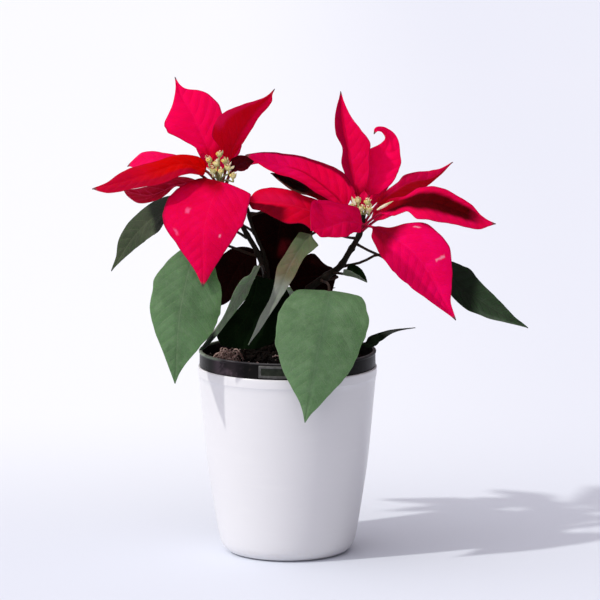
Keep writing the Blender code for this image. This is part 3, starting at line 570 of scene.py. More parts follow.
# Looks of both sides and the slot of the leaves that aren't plain green
LEAF_LOOKS = {
    "left_back": ("deep", "under", "leaf_green"),
    "left_edge": ("edge", "edge", "leaf_green"),
    "shade": ("shade_top", "shade_top", "leaf_green"),
    "olive": ("olive_top", "under", "leaf_olive"),
    "right": ("painted_shade_dim", "under", "leaf_dark"),
    "low_right": ("painted_shade_grey_tip", "painted_shade_grey_tip", "leaf_green"),
    "front": ("front", "under", "leaf_green"),
    "small": ("shade_top", "under", "leaf_green"),
    "maroon": ("maroon_painted_shade", "maroon_painted_shade", "leaf_maroon"),
    "inner": ("inner_painted_shade", "maroon_painted_shade", "leaf_green"),
    "cluster": ("maroon_painted_shade", "shade_top", "leaf_green"),
}
PLAIN_LEAF = ("top", "under", "leaf_green")

# Larger pale scales beside the right small flowers: foot, direction and length
PALE_SLIVERS = {
    "left": [],
    "right": [((66.8, -16.0, 261.9), (12.7, 2.0, 5.8), 14.1), ((51.2, -14.0, 265.4), (-3.0, -1.0, 6.9), 7.6)],
}


def smooth(x):
    x = np.clip(x, 0.0, 1.0)
    return x * x * (3 - 2 * x)


def round_turn(steps):
    """Angles all round, in equal steps."""
    return np.linspace(0, 2 * math.pi, steps, endpoint=False)


def wave_noise(seed, count=5):
    """A smooth wavy function of one number, made of a few sines with seeded phases."""
    pick = random.Random(seed)
    terms = []
    for k in range(1, count + 1):
        terms.append((pick.uniform(0.6, 1.0) / k, pick.uniform(0.8, 1.3) * k, pick.uniform(0, 6.28)))

    def value(x):
        return sum(a * np.sin(2 * math.pi * f * x + p) for a, f, p in terms)

    return value


# Materials


class Look:
    """A material under construction. Values may be numbers, colours or sockets."""

    def __init__(self, name, **fixed):
        self.mat = bpy.data.materials.new(name)
        self.mat.use_nodes = True
        self.tree = self.mat.node_tree
        self.shader = self.tree.nodes["Principled BSDF"]
        self.where = self.node("TexCoord").outputs["Object"]
        for key, value in fixed.items():
            self.shader.inputs[key.replace("_", " ")].default_value = value

    def put(self, socket, value):
        if isinstance(value, bpy.types.NodeSocket):
            self.tree.links.new(value, socket)
        elif isinstance(value, (tuple, list)) and len(value) == 3 and socket.type == "RGBA":
            socket.default_value = (*value, 1)
        else:
            socket.default_value = value

    def node(self, kind, sockets=None, **settings):
        made = self.tree.nodes.new("ShaderNode" + kind)
        for key, value in settings.items():
            setattr(made, key, value)
        for key, value in (sockets or {}).items():
            self.put(made.inputs[key], value)
        return made

    def math(self, operation, a, b=0.0, c=0.0):
        made = self.node("Math", {0: a, 1: b}, operation=operation)
        if operation == "MULTIPLY_ADD":
            self.put(made.inputs[2], c)
        return made.outputs[0]

    def times(self, a, b):
        return self.math("MULTIPLY", a, b)

    def times_plus(self, a, b, c):
        return self.math("MULTIPLY_ADD", a, b, c)

    def step(self, value, low, high, out_low=0.0, out_high=1.0):
        """A smooth ramp of value from low to high."""
        sockets = {"Value": value, "From Min": low, "From Max": high, "To Min": out_low, "To Max": out_high}
        return self.node("MapRange", sockets, interpolation_type="SMOOTHSTEP").outputs["Result"]

    def noise(self, scale, detail=4.0, roughness=0.55, distortion=0.0, where=None):
        sockets = {
            "Vector": where or self.where, "Scale": scale, "Detail": detail,
            "Roughness": roughness, "Distortion": distortion,
        }
        return self.node("TexNoise", sockets).outputs["Fac"]

    def cells(self, scale, feature="F1"):
        return self.node("TexVoronoi", {"Vector": self.where, "Scale": scale}, feature=feature)

    def spots(self, scale, most, least):
        """Round dots: 1 at their middle, from most to least distance."""
        return self.step(self.cells(scale).outputs["Distance"], most, least)

    def net(self, scale, most, least):
        """A net of fine lines between cells."""
        return self.step(self.cells(scale, "DISTANCE_TO_EDGE").outputs["Distance"], most, least)

    def axes(self):
        return self.node("SeparateXYZ", {0: self.where}).outputs

    def stretched(self, x, y, z, where=None):
        return self.node("Mapping", {"Vector": where or self.where, "Scale": (x, y, z)}).outputs[0]

    def slanted(self, x, y, z, degrees):
        """Coordinates tilted about the front axis, then stretched."""
        turn = (0, math.radians(degrees), 0)
        tilted = self.node("Mapping", {"Vector": self.where, "Rotation": turn}).outputs[0]
        return self.stretched(x, y, z, tilted)

    def mix(self, share, a, b, blend="MIX"):
        made = self.node("Mix", data_type="RGBA", blend_type=blend)
        self.put(made.inputs[0], share)
        self.put(made.inputs[6], a)
        self.put(made.inputs[7], b)
        return made.outputs[2]

    def over(self, color, mask, amount, paint):
        """The colour with paint laid over it where the mask is 1."""
        return self.mix(self.times(mask, amount), color, paint)

    def uv(self, name):
        made = self.node("SeparateXYZ", {0: self.node("UVMap", uv_map=name).outputs[0]})
        return made.outputs[0], made.outputs[1]

    def bump(self, height, strength, distance):
        return self.node("Bump", {"Height": height, "Strength": strength, "Distance": distance}).outputs[0]

    def done(self, color, roughness, normal):
        self.put(self.shader.inputs["Base Color"], color)
        self.put(self.shader.inputs["Roughness"], roughness)
        self.put(self.shader.inputs["Normal"], normal)
        return self.mat


def scaled(color, share):
    return tuple(share * c for c in color)


def zone_mask(look, share, side, start, end, low, high, soft):
    """1 inside a stretch along and a band across the blade; its borders are soft, and open at 0 and 1."""
    mask = 1.0
    for value, a, b in ((share, start, end), (side, low, high)):
        if a > 0:
            mask = look.times(look.step(value, a - soft, a + soft), mask)
        if b < 1:
            mask = look.times(look.step(value, b + soft, b - soft), mask)
    return mask


def blade_look(
    name, tones, vein_share, net_share, gloss, through, tint, shine, tip=None, rim=None, zones=(),
):
    """One side of a leaf or bract: mottled colour, midrib, side veins, fine net of veins, scattered flecks.

    tones: base, deep, pale and vein colour. through and tint: light that passes the blade.
    """
    base, deep, pale, vein = tones
    look = Look(
        name, Subsurface_Weight=through, Subsurface_Radius=tint,
        Subsurface_Scale=0.0022, Specular_IOR_Level=shine,
    )
    phase, lateral = look.uv("vein")
    share, side = look.uv("leaf")
    out = look.math("ABSOLUTE", lateral)
    # midrib, thinner towards the tip
    width = look.times_plus(share, -0.06, 0.085)
    rib = look.step(look.math("DIVIDE", out, width), 1.0, 0.35)
    # side veins, fading towards the edge
    near = look.math("ABSOLUTE", look.math("SUBTRACT", look.math("FRACT", phase), 0.5))
    line = look.step(near, 0.055, 0.008)
    edge = look.math("ABSOLUTE", look.times_plus(side, 2.0, -1.0))
    line = look.times(line, look.step(edge, 1.0, 0.55, 0.25, 1.0))
    net = look.net(420, 0.10, 0.01)
    fine = look.net(1300, 0.12, 0.02)
    cloud = look.step(look.noise(38, 5, 0.6), 0.35, 0.68)
    grain = look.noise(900, 3, 0.6)
    color = look.mix(cloud, base, deep)
    drift = look.step(look.noise(95, 3, 0.5), 0.45, 0.72)
    color = look.over(color, drift, 0.55, pale)
    color = look.over(color, net, net_share, vein)
    color = look.over(color, fine, net_share * 0.5, deep)
    color = look.over(color, line, vein_share, vein)
    color = look.over(color, rib, min(1, vein_share * 1.5), vein)
    if rim:
        color = look.over(color, look.step(edge, 0.93, 0.99), 0.6, rim)
    else:
        color = look.over(color, look.step(edge, 0.965, 0.995), 0.45, pale)
    # zones of painted shade and painted light, and a few pale flecks, with borders that sway a little
    sway = look.times_plus(look.noise(150, 3, 0.6), 0.05, -0.025)
    along, across = look.math("ADD", share, sway), look.math("ADD", side, sway)
    for start, end, low, high, soft, shade, amount in zones:
        mask = zone_mask(look, along, across, start, end, low, high, soft)
        color = look.over(color, mask, amount, look.mix(cloud, shade, scaled(shade, 0.82)))
    if tip:
        color = look.mix(look.step(share, 0.95, 0.985), color, look.mix(grain, tip, scaled(tip, 0.6)))
    rough = look.times_plus(grain, 0.22, gloss)
    rough = look.times_plus(net, 0.08, rough)
    height = look.times_plus(net, -0.55, look.times(grain, 0.35))
    height = look.times_plus(fine, -0.2, height)
    height = look.times_plus(line, -1.2, height)
    return look.done(color, rough, look.bump(height, 0.35, 0.0004))


def stalk_look(name, low, high, blush, z_low, z_high, rough=0.45):
    """Stem or petiole: one colour turning into another with height, streaked along and dotted with pores."""
    look = Look(name, Specular_IOR_Level=0.08)
    rise = look.step(look.axes()[2], z_low * MM, z_high * MM)
    streak = look.noise(1, 5, 0.65, where=look.stretched(900, 900, 90))
    color = look.mix(rise, low, high)
    color = look.mix(look.step(streak, 0.42, 0.7), color, blush)
    dots = look.spots(480, 0.22, 0.1)
    color = look.over(color, dots, 0.5, scaled(blush, 2.2))
    height = look.times_plus(dots, 0.7, streak)
    return look.done(color, look.times_plus(streak, 0.3, rough - 0.1), look.bump(height, 0.4, 0.0004))


def cover_look():
    """White moulded plastic: satin, with faint flow marks, a little dust towards the foot and fine scuffs."""
    look = Look("cover_white", Coat_Weight=0.25, Coat_Roughness=0.12, Specular_IOR_Level=0.45)
    z = look.axes()[2]
    cloud = look.noise(22, 4, 0.5)
    flow = look.noise(1, 3, 0.5, where=look.stretched(40, 40, 260))
    color = look.mix(cloud, (0.68, 0.675, 0.69), (0.665, 0.66, 0.675))
    color = look.mix(look.step(flow, 0.5, 0.75, 0.0, 0.4), color, (0.695, 0.69, 0.7))
    dust = look.times(look.step(z, 0.016, 0.0), look.step(look.noise(260, 4, 0.6), 0.45, 0.7))
    color = look.over(color, dust, 0.35, (0.62, 0.58, 0.54))
    specks = look.spots(190, 0.055, 0.03)
    rare = look.step(look.noise(30, 2, 0.5), 0.56, 0.62)
    color = look.over(color, look.times(specks, rare), 0.4, (0.5, 0.45, 0.4))
    scuff = look.step(look.noise(1, 4, 0.7, where=look.stretched(500, 500, 60)), 0.62, 0.75)
    rough = look.times_plus(cloud, 0.05, 0.27)
    rough = look.times_plus(scuff, 0.04, rough)
    wave = look.times_plus(flow, 0.5, look.noise(120, 2, 0.5))
    return look.done(color, rough, look.bump(wave, 0.02, 0.0004))


def nursery_look():
    """Black moulded plastic: scuffed sheen, dry splashes of growing medium, painted reflection streaks at the
    left and a paler top edge of painted highlight.
    """
    look = Look("nursery_black", Specular_IOR_Level=0.05)
    x, _, z = look.axes()
    cloud = look.noise(60, 5, 0.6)
    splash = look.step(look.noise(210, 6, 0.7, 0.4), 0.56, 0.7)
    color = look.mix(cloud, (0.002, 0.002, 0.002), (0.007, 0.0065, 0.006))
    # painted reflection: slanting mauve streaks in a band at the left
    streak = look.noise(1, 4, 0.6, 0.3, where=look.slanted(52, 52, 96, 38))
    painted_reflection_patch = look.times(look.step(x, -0.058, -0.05), look.step(x, -0.031, -0.039))
    streak = look.times(look.step(streak, 0.42, 0.6, 0.2, 1.0), painted_reflection_patch)
    color = look.mix(streak, color, (0.062, 0.044, 0.054))
    color = look.over(color, splash, 0.35, (0.05, 0.036, 0.032))
    # painted highlight along the top edge, brighter and greenish at the left
    top = COLLAR_TOP * MM
    edge = look.step(z, top - 0.0011, top - 0.0002)
    painted_top_highlight = look.times(edge, look.times_plus(cloud, 0.6, 0.25))
    color = look.mix(painted_top_highlight, color, (0.12, 0.115, 0.12))
    painted_left_highlight = look.times(look.step(z, top - 0.0022, top - 0.0008), look.step(x, -0.047, -0.056))
    color = look.mix(painted_left_highlight, color, look.mix(cloud, (0.13, 0.165, 0.115), (0.2, 0.235, 0.185)))
    line = look.noise(1, 4, 0.6, where=look.stretched(120, 120, 1500))
    rough = look.times_plus(look.noise(300, 4, 0.6), 0.25, 0.2)
    rough = look.times_plus(splash, 0.3, rough)
    return look.done(color, rough, look.bump(line, 0.12, 0.0003))


def soil_look(name, dark, light, scale=240):
    """Crumbs of mixed tone with a few light flecks."""
    look = Look(name, Specular_IOR_Level=0.04)
    grains = look.cells(scale * 5).outputs["Color"]
    cloud = look.step(look.noise(scale, 6, 0.7), 0.35, 0.7)
    color = look.mix(cloud, dark, light)
    color = look.mix(0.3, color, look.mix(0.75, grains, dark), "MULTIPLY")
    fleck = look.step(look.noise(scale * 3, 3, 0.6), 0.6, 0.75)
    color = look.over(color, fleck, 0.5, light)
    height = look.math("ADD", look.noise(scale * 3, 5, 0.7), look.noise(scale, 3, 0.6))
    return look.done(color, 0.92, look.bump(height, 0.8, 0.001))


def plain_look(name, a, b, rough, scale=600, **fixed):
    """Two mottled tones with a fine grain."""
    look = Look(name, **fixed)
    cloud = look.step(look.noise(scale, 4, 0.6), 0.35, 0.65)
    grain = look.noise(scale * 4, 3, 0.6)
    color = look.mix(cloud, a, b)
    return look.done(color, look.times_plus(grain, 0.2, rough), look.bump(grain, 0.3, 0.0002))


def floor_look():
    """Pale seamless sweep: matte paint with faint mottling and roller texture, and painted light falloff."""
    look = Look("floor_pale", Specular_IOR_Level=0.12)
    x, y, _ = look.axes()
    cloud = look.noise(0.8, 3, 0.5)
    grain = look.noise(420, 3, 0.6)
    # painted light falloff: paler at the left, darker to the right and near the viewer
    color = look.mix(look.step(x, -0.18, 0.34), FLOOR_LEFT, FLOOR_RIGHT)
    color = look.mix(look.step(y, 0.6, -0.08), color, FLOOR_NEAR)
    color = look.over(color, cloud, 0.1, (0.9, 0.9, 0.92))
    return look.done(color, look.times_plus(grain, 0.15, 0.6), look.bump(grain, 0.05, 0.0003))


# Meshes


def add_mesh(name, verts, faces, looks, uvs=None, face_looks=None):
    """A mesh piece in metres. uvs: layer name to one pair of numbers for each vertex."""
    mesh = bpy.data.meshes.new(name)
    mesh.from_pydata([tuple(v) for v in verts], [], [tuple(int(i) for i in f) for f in faces])
    for look in looks:
        mesh.materials.append(look)
    if face_looks is not None:
        mesh.polygons.foreach_set("material_index", np.asarray(face_looks, np.int32))
    corner = np.empty(len(mesh.loops), np.int32)
    mesh.loops.foreach_get("vertex_index", corner)
    for key, pairs in (uvs or {}).items():
        layer = mesh.uv_layers.new(name=key)
        layer.data.foreach_set("uv", np.asarray(pairs, np.float32)[corner].ravel())
    mesh.polygons.foreach_set("use_smooth", np.full(len(mesh.polygons), True))
    mesh.validate()
    mesh.update()
    item = bpy.data.objects.new(name, mesh)
    bpy.context.collection.objects.link(item)
    return item


def strip_faces(rings, around):
    """Quads between neighbouring rings of points, each ring with the same count."""
    faces = []
    for i in range(rings - 1):
        for j in range(around):
            k = (j + 1) % around
            faces.append((i * around + j, i * around + k, (i + 1) * around + k, (i + 1) * around + j))
    return faces


def end_faces(rings, around):
    return [tuple(range(around))[::-1], tuple(range((rings - 1) * around, rings * around))]


def circle(turn, r, z):
    """Points at angles turn, radius r and height z; r and z may vary with the angle."""
    return np.stack([r * np.cos(turn), r * np.sin(turn), z + np.zeros(len(turn))], axis=1)


def turned(profile):
    """Points and faces of a turned body from its closed profile of (radius, height) in millimetres."""
    count, steps = len(profile), TURN_STEPS
    turn = round_turn(steps)
    r, z = np.array(profile, float).T
    verts = np.stack([np.outer(np.cos(turn), r), np.outer(np.sin(turn), r), np.tile(z, (steps, 1))], axis=2)
    faces = []
    for i in range(steps):
        k = (i + 1) % steps
        for j in range(count - 1):
            faces.append((i * count + j, k * count + j, k * count + j + 1, i * count + j + 1))
    return verts.reshape(-1, 3) * MM, faces


def rounded(profile, per_corner=4, most=1.2):
    """The profile with its corners rounded, which keeps its straight runs."""
    out = [profile[0]]
    for a, b, c in zip(profile, profile[1:], profile[2:]):
        a, b, c = (np.array(p, float) for p in (a, b, c))
        before, after = np.linalg.norm(b - a), np.linalg.norm(c - b)
        cut = min(most, 0.45 * before, 0.45 * after)
        start, end = b + (a - b) * cut / before, b + (c - b) * cut / after
        for t in np.linspace(0, 1, per_corner + 1):
            out.append(tuple((1 - t) ** 2 * start + 2 * t * (1 - t) * b + t * t * end))
    out.append(profile[-1])
    return out


def face_outward(item, merge=True):
    """Turns all faces outward, once points that coincide are merged."""
    bm = bmesh.new()
    bm.from_mesh(item.data)
    if merge:
        bmesh.ops.remove_doubles(bm, verts=bm.verts[:], dist=MERGE_DISTANCE)
    bmesh.ops.recalc_face_normals(bm, faces=bm.faces[:])
    bm.to_mesh(item.data)
    bm.free()


def keep(item, slot, *nodes):
    """Rides on the plant's one body and stands for the nodes it replaces. slot is not used."""
    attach(item, BODY)
    if nodes:
        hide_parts(*nodes)


# Curves


def through(points, per_span=24):
    """A smooth curve through the points, and how far along it each of them lies."""
    p = np.array(points, float)
    p = np.vstack([2 * p[0] - p[1], p, 2 * p[-1] - p[-2]])
    curve = [p[1]]
    marks = [0]
    for k in range(1, len(p) - 2):
        a, b, c, d = p[k - 1 : k + 3]
        for t in np.linspace(0, 1, per_span + 1)[1:]:
            bend = (2 * a - 5 * b + 4 * c - d) * t**2 + (3 * b - 3 * c + d - a) * t**3
            curve.append(0.5 * (2 * b + (c - a) * t + bend))
        marks.append(len(curve) - 1)
    curve = np.array(curve)
    length = np.r_[0, np.cumsum(np.linalg.norm(np.diff(curve, axis=0), axis=1))]
    return curve, length, length[marks]


def at_length(curve, length, distance):
    """Points and directions of the curve at distances from its start."""

    def at(places):
        return np.stack([np.interp(places, length, curve[:, k]) for k in range(3)], axis=1)

    distance = np.atleast_1d(distance)
    points = at(distance)
    step = length[-1] * 0.02
    way = at(distance + step) - at(distance - step)
    return points, way / np.linalg.norm(way, axis=1, keepdims=True)


def stem_point(name, share):
    """The point and the radius of a stem at a share of its length."""
    spec = STEMS[name]
    curve, length, _ = through(spec["path"])
    point, _ = at_length(curve, length, share * length[-1])
    foot, top = spec["radii"]
    return point[0], foot + (top - foot) * share


def root_beside(center, radius, toward):
    """Where a petiole starts: at the stem's surface, on the side of the point it goes to."""
    way = np.array(toward, float) - center
    way[2] = 0
    way /= np.linalg.norm(way)
    return center + way * radius


# Leaves and bracts


def half_widths(u, widths):
    """Half widths along the blade: a smooth curve without overshoot through the widths at OUTLINE_AT."""
    x = np.array([0, *OUTLINE_AT, 1])
    y = np.array([PETIOLE_RADIUS, *widths, BLADE_END])
    rise = np.diff(y) / np.diff(x)
    same = rise[1:] * rise[:-1] > 0
    slope = np.zeros(len(x))
    slope[1:-1] = np.where(same, 2 * rise[1:] * rise[:-1] / np.where(same, rise[1:] + rise[:-1], 1), 0)
    slope[0], slope[-1] = rise[0], rise[-1]
    k = np.clip(np.searchsorted(x, u, side="right") - 1, 0, len(x) - 2)
    wide = x[k + 1] - x[k]
    t = (u - x[k]) / wide
    a, b, c = (1 + 2 * t) * (1 - t) ** 2, t * (1 - t) ** 2, t * t * (3 - 2 * t)
    return a * y[k] + b * wide * slope[k] + c * y[k + 1] + t * t * (t - 1) * wide * slope[k + 1]


def outline(spec, u, s, seed):
    """Half width at each point of the blade's grid, with small notches in the edge."""
    left, right = spec["left"], spec.get("right", spec["left"])
    half = np.where(s > 0, half_widths(u, right), half_widths(u, left))
    edge_left, edge_right = wave_noise(seed), wave_noise(seed + 1)
    notch = np.where(s > 0, edge_right(u * 2.2), edge_left(u * 2.2))
    half = half * (1 + EDGE_NOTCH * notch * smooth(u * 6) * smooth((1 - u) * 6))
    return np.maximum(half, LEAST_HALF_WIDTH)


def wavy_lift(spec, u, s, half, seed):
    """How far each point rises from flat: the fold, ripples along the edge and the edge's curl."""
    to_edge = np.abs(s)
    lift_left, lift_right = wave_noise(seed + 2, 3), wave_noise(seed + 3, 3)
    ripple = np.where(s > 0, lift_right(u * EDGE_WAVES), lift_left(u * EDGE_WAVES))
    lift = np.abs(half * s) * math.sin(math.radians(spec["fold"]))
    lift += EDGE_RIPPLE * half * to_edge**1.6 * ripple
    return lift - EDGE_CURL * half * to_edge**3


def veined(phase, u, s, lateral):
    """Relief of the skin: side veins in furrows, bulges between them and a sunk midrib."""
    from_line = np.abs(phase % 1 - 0.5)
    inner = smooth(np.abs(lateral) / 3.0) * (1 - np.abs(s) ** 4)
    bulge = QUILT_HEIGHT * inner * (1 - (1 - np.clip(from_line * 2, 0, 1)) ** 2)
    sunk = VEIN_DEPTH * np.exp(-((from_line / VEIN_WIDTH) ** 2)) * inner
    rib = MIDRIB_DEPTH * np.exp(-((lateral / (1.1 - 0.6 * u)) ** 2))
    return bulge - sunk - rib


def blade(node, stem, share, spec, looks, slot, seed):
    """A leaf or bract with its petiole, from the stem's surface to the tip."""
    stem_middle, stem_radius = stem_point(stem, share)
    root = root_beside(stem_middle, stem_radius, spec["path"][0])
    via = spec.get("via", [])
    curve, length, marks = through([root] + via + spec["path"])
    petiole = marks[1 + len(via)]
    blade_length = length[-1] - petiole
    # rings along: petiole, then blade, with shorter steps at the blade's foot
    steps = np.linspace(0, 1, ALONG + 1) ** 1.12
    stalk = np.linspace(0, petiole, PETIOLE_RINGS, endpoint=False)
    rings = PETIOLE_RINGS + ALONG + 1
    center, way = at_length(curve, length, np.r_[stalk, petiole + steps * blade_length])
    face = np.array(spec["face"], float)
    normal = face - (way @ face)[:, None] * way
    normal /= np.linalg.norm(normal, axis=1, keepdims=True)
    across = np.cross(way, normal)
    # points across, closer together at the edges
    quarter = math.pi / 2
    sides = np.sin(np.linspace(-quarter, quarter, ACROSS + 1) * 0.92) / math.sin(quarter * 0.92)
    u, s = np.meshgrid(steps, sides, indexing="ij")
    half = outline(spec, u, s, seed)
    lateral = half * s
    out = np.abs(lateral)
    along = u * blade_length
    phase = (along - out * VEIN_SLOPE - out * out * VEIN_BEND) / VEIN_SPACING
    phase += np.where(s > 0, 0.5, 0.12) + 20
    skin = wavy_lift(spec, u, s, half, seed) + veined(phase, u, s, lateral)
    thick = BLADE_THICKNESS * (1 - 0.55 * np.abs(s) ** 3)
    under_rib = (0.85 * (1 - u) + 0.18) * PETIOLE_RADIUS * np.exp(-((lateral / (0.95 - 0.5 * u)) ** 2))
    back = spec.get("lobe", 0) * half * s * s * np.clip(1 - u / 0.4, 0, 1) ** 2
    # the blade grows out of the round petiole over its first few millimetres
    grow = smooth(along / BLADE_ROOT)
    turn = sides * quarter * SIDE_REACH
    tube_x, tube_z = PETIOLE_RADIUS * np.sin(turn), PETIOLE_RADIUS * np.cos(turn)
    x = grow * lateral * math.cos(math.radians(spec["fold"])) + (1 - grow) * tube_x
    top_z = grow * (skin + thick / 2) + (1 - grow) * tube_z
    low_z = grow * (skin - thick / 2 - under_rib) - (1 - grow) * tube_z
    swell = 1 + 0.35 * np.exp(-stalk / 1.6)
    x = np.vstack([np.outer(swell, tube_x), x])
    top = np.vstack([np.outer(swell, tube_z), top_z])
    low = np.vstack([-np.outer(swell, tube_z), low_z])
    shift = np.vstack([np.zeros((PETIOLE_RINGS, ACROSS + 1)), back])

    def place(height):
        spot = center[:, None] + across[:, None] * x[:, :, None] + normal[:, None] * height[:, :, None]
        return spot - way[:, None] * shift[:, :, None]

    ring = np.concatenate([place(top), place(low)[:, ::-1]], axis=1)
    around = ring.shape[1]
    verts = ring.reshape(-1, 3) * MM
    faces = strip_faces(rings, around) + end_faces(rings, around)
    # which look a face takes: 0 upper side, 1 underside, 2 petiole
    kinds = [2] * ((PETIOLE_RINGS + 2) * around)
    kinds += ([0] * ACROSS + [1] * (around - 1 - ACROSS) + [0]) * (ALONG - 2)
    kinds += [2, 0]

    def both(values, petiole_value):
        rows = np.vstack([np.full((PETIOLE_RINGS, ACROSS + 1), petiole_value), values])
        return np.concatenate([rows, rows[:, ::-1]], axis=1).ravel()

    uvs = {
        "leaf": np.c_[both(u, 0.0), both(s / 2 + 0.5, 0.5)],
        "vein": np.c_[both(phase, 0.25), both(lateral / 10, 0.0)],
    }
    item = add_mesh(f"veined_{node}", verts, faces, looks, uvs, kinds)
    face_outward(item, merge=False)
    keep(item, slot, node)


# Stems


def tube(points, radii, per_span=24, capped=False):
    """Points and faces of a tube through the points; radii has a row for each ring, a column round it."""
    curve, length, _ = through(points, per_span)
    rings, around = radii.shape
    center, way = at_length(curve, length, np.linspace(0, length[-1], rings))
    side = np.cross(way, np.array([0.0, 1.0, 0.0]))
    side /= np.linalg.norm(side, axis=1, keepdims=True)
    other = np.cross(way, side)
    turn = round_turn(around)
    ring = side[:, None] * np.cos(turn)[None, :, None] + other[:, None] * np.sin(turn)[None, :, None]
    verts = center[:, None] + ring * radii[..., None]
    faces = strip_faces(rings, around)
    if capped:
        faces += end_faces(rings, around)
    return verts.reshape(-1, 3), faces


def stem_tube(name, spec, rings=150, around=28):
    """One stem with swollen nodes, leaf scars below them and shallow ridges."""
    pick = random.Random(name)
    long = through(spec["path"])[1][-1]
    foot, top = spec["radii"]
    share = np.linspace(0, 1, rings)
    radius = foot + (top - foot) * share
    for k in STEM_KNOTS:
        radius += 0.22 * radius * np.exp(-(((share - k) * long / 2.2) ** 2))
    radius += 0.25 * foot * np.exp(-share * long / 7.0)
    turn = round_turn(around)
    field = np.outer(radius, np.ones(around))
    for m, amount in ((3, 0.035), (5, 0.025), (8, 0.012)):
        a, b = pick.uniform(0, 6), pick.uniform(1, 4)
        field *= 1 + amount * np.sin(m * turn[None, :] + a + b * share[:, None])
    for k in STEM_KNOTS:
        gap = np.abs((turn - pick.uniform(0, 6.28) + math.pi) % (2 * math.pi) - math.pi)
        height = (share - k) * long
        field += 0.35 * np.outer(np.exp(-((height / 1.1) ** 2)), np.exp(-((gap / 0.5) ** 2)))
    return tube(spec["path"], field, capped=True)


def joined(parts):
    """One list of points and faces from several."""
    verts, faces, start = [], [], 0
    for v, f in parts:
        verts.append(np.asarray(v))
        faces += [tuple(i + start for i in face) for face in f]
        start += len(v)
    return np.vstack(verts), faces


# Camera, light, floor


def aim(item, target):
    item.rotation_euler = (Vector(target) - item.location).to_track_quat("-Z", "Y").to_euler()


def set_camera():
    camera = bpy.data.cameras.new("camera")
    camera.lens = CAMERA_LENS
    camera.clip_end = 100
    view = bpy.data.objects.new("camera", camera)
    view.location = CAMERA_AT
    aim(view, CAMERA_AIM)
    bpy.context.collection.objects.link(view)
    bpy.context.scene.camera = view


def set_key_light():
    """The one lamp: from the upper left, a little in front."""
    lamp = bpy.data.lights.new("key", "SUN")
    lamp.energy = KEY_STRENGTH
    lamp.angle = math.radians(KEY_ANGLE)
    lamp.color = KEY_COLOR
    key = bpy.data.objects.new("key", lamp)
    turn, rise = math.radians(KEY_TURN), math.radians(KEY_RISE)
    travel = Vector((math.cos(turn) * math.cos(rise), math.sin(turn) * math.cos(rise), -math.sin(rise)))
    key.location = -2 * travel
    aim(key, key.location + travel)
    bpy.context.collection.objects.link(key)


def set_world():
    """Fill light, brighter on the side of FILL_FROM; the camera sees an even pale backdrop."""
    world = bpy.data.worlds.new("studio")
    bpy.context.scene.world = world
    world.use_nodes = True
    tree = world.node_tree
    tree.nodes.clear()
    nodes = {}
    for kind in ("OutputWorld", "TexCoord", "VectorMath", "MapRange", "Mix", "LightPath", "MixShader"):
        nodes[kind] = tree.nodes.new("ShaderNode" + kind)
    fill, sky = (tree.nodes.new("ShaderNodeBackground") for _ in range(2))
    facing, rise, shade, mix = (nodes[kind] for kind in ("VectorMath", "MapRange", "Mix", "MixShader"))
    facing.operation = "DOT_PRODUCT"
    facing.inputs[1].default_value = FILL_FROM
    rise.inputs["From Min"].default_value = FILL_START
    shade.data_type = "RGBA"
    shade.inputs[6].default_value = (*FILL_LOW, 1)
    shade.inputs[7].default_value = (*FILL_HIGH, 1)
    sky.inputs[0].default_value = (*SKY_COLOR, 1)
    for source, target in (
        (nodes["TexCoord"].outputs["Generated"], facing.inputs[0]),
        (facing.outputs["Value"], rise.inputs["Value"]),
        (rise.outputs["Result"], shade.inputs[0]),
        (shade.outputs[2], fill.inputs[0]),
        (nodes["LightPath"].outputs["Is Camera Ray"], mix.inputs[0]),
        (fill.outputs[0], mix.inputs[1]),
        (sky.outputs[0], mix.inputs[2]),
        (mix.outputs[0], nodes["OutputWorld"].inputs[0]),
    ):
        tree.links.new(source, target)


def set_floor():
    half = FLOOR_SIZE / 2
    verts = [(-half, -half, 0), (half, -half, 0), (half, half, 0), (-half, half, 0)]
    floor = add_mesh("studio_floor", verts, [(0, 1, 2, 3)], [floor_look()])
    floor.location.z = FLOOR_Z


def set_stage():
    set_camera()
    set_key_light()
    set_world()
    set_floor()
    bpy.context.scene.view_settings.view_transform = "Standard"


# Pots


def cover_pot():
    """White pot: rim band with a step below it, swelling side, rounded foot and hollow inside."""
    rim, wall = COVER_RIM_RADIUS, COVER_WALL
    band = [
        (rim - 0.5, COVER_HEIGHT), (rim, COVER_HEIGHT - 0.8),
        (rim - 0.3, COVER_HEIGHT - 7), (rim - 0.8, COVER_HEIGHT - 7.8),
    ]
    side = [
        band[-1], (64.7, 112), (62.4, 86), (60.0, 64), (56.6, 41), (53.6, 22), (51.2, 10),
        (49.0, 4.8), (45.9, 1.6), (43.0, 0.35), (COVER_FOOT_RADIUS, 0),
    ]
    inside = [
        (44, COVER_FLOOR), (47.5, 6.5), (51.0, 22), (54.0, 41), (57.4, 64), (59.8, 86), (62.1, 112),
        (rim - wall, COVER_HEIGHT - 6), (rim - wall + 0.4, COVER_HEIGHT - 0.4), (rim - 1.2, COVER_HEIGHT),
    ]
    shell = rounded(inside + band, 4, 0.9) + smooth_run(side, 6)[1:]
    verts, faces = turned([(0, COVER_FLOOR)] + shell + [(36, 0), (0, 0)])
    item = add_mesh("cover_pot_shell", verts, faces, [cover_look()])
    face_outward(item)
    keep(item, "cover_pot", "cover_pot")


def smooth_run(points, per_span):
    """A smooth outline through the points of a profile."""
    curve = through([(r, 0, z) for r, z in points], per_span)[0]
    return [(p[0], p[2]) for p in curve]


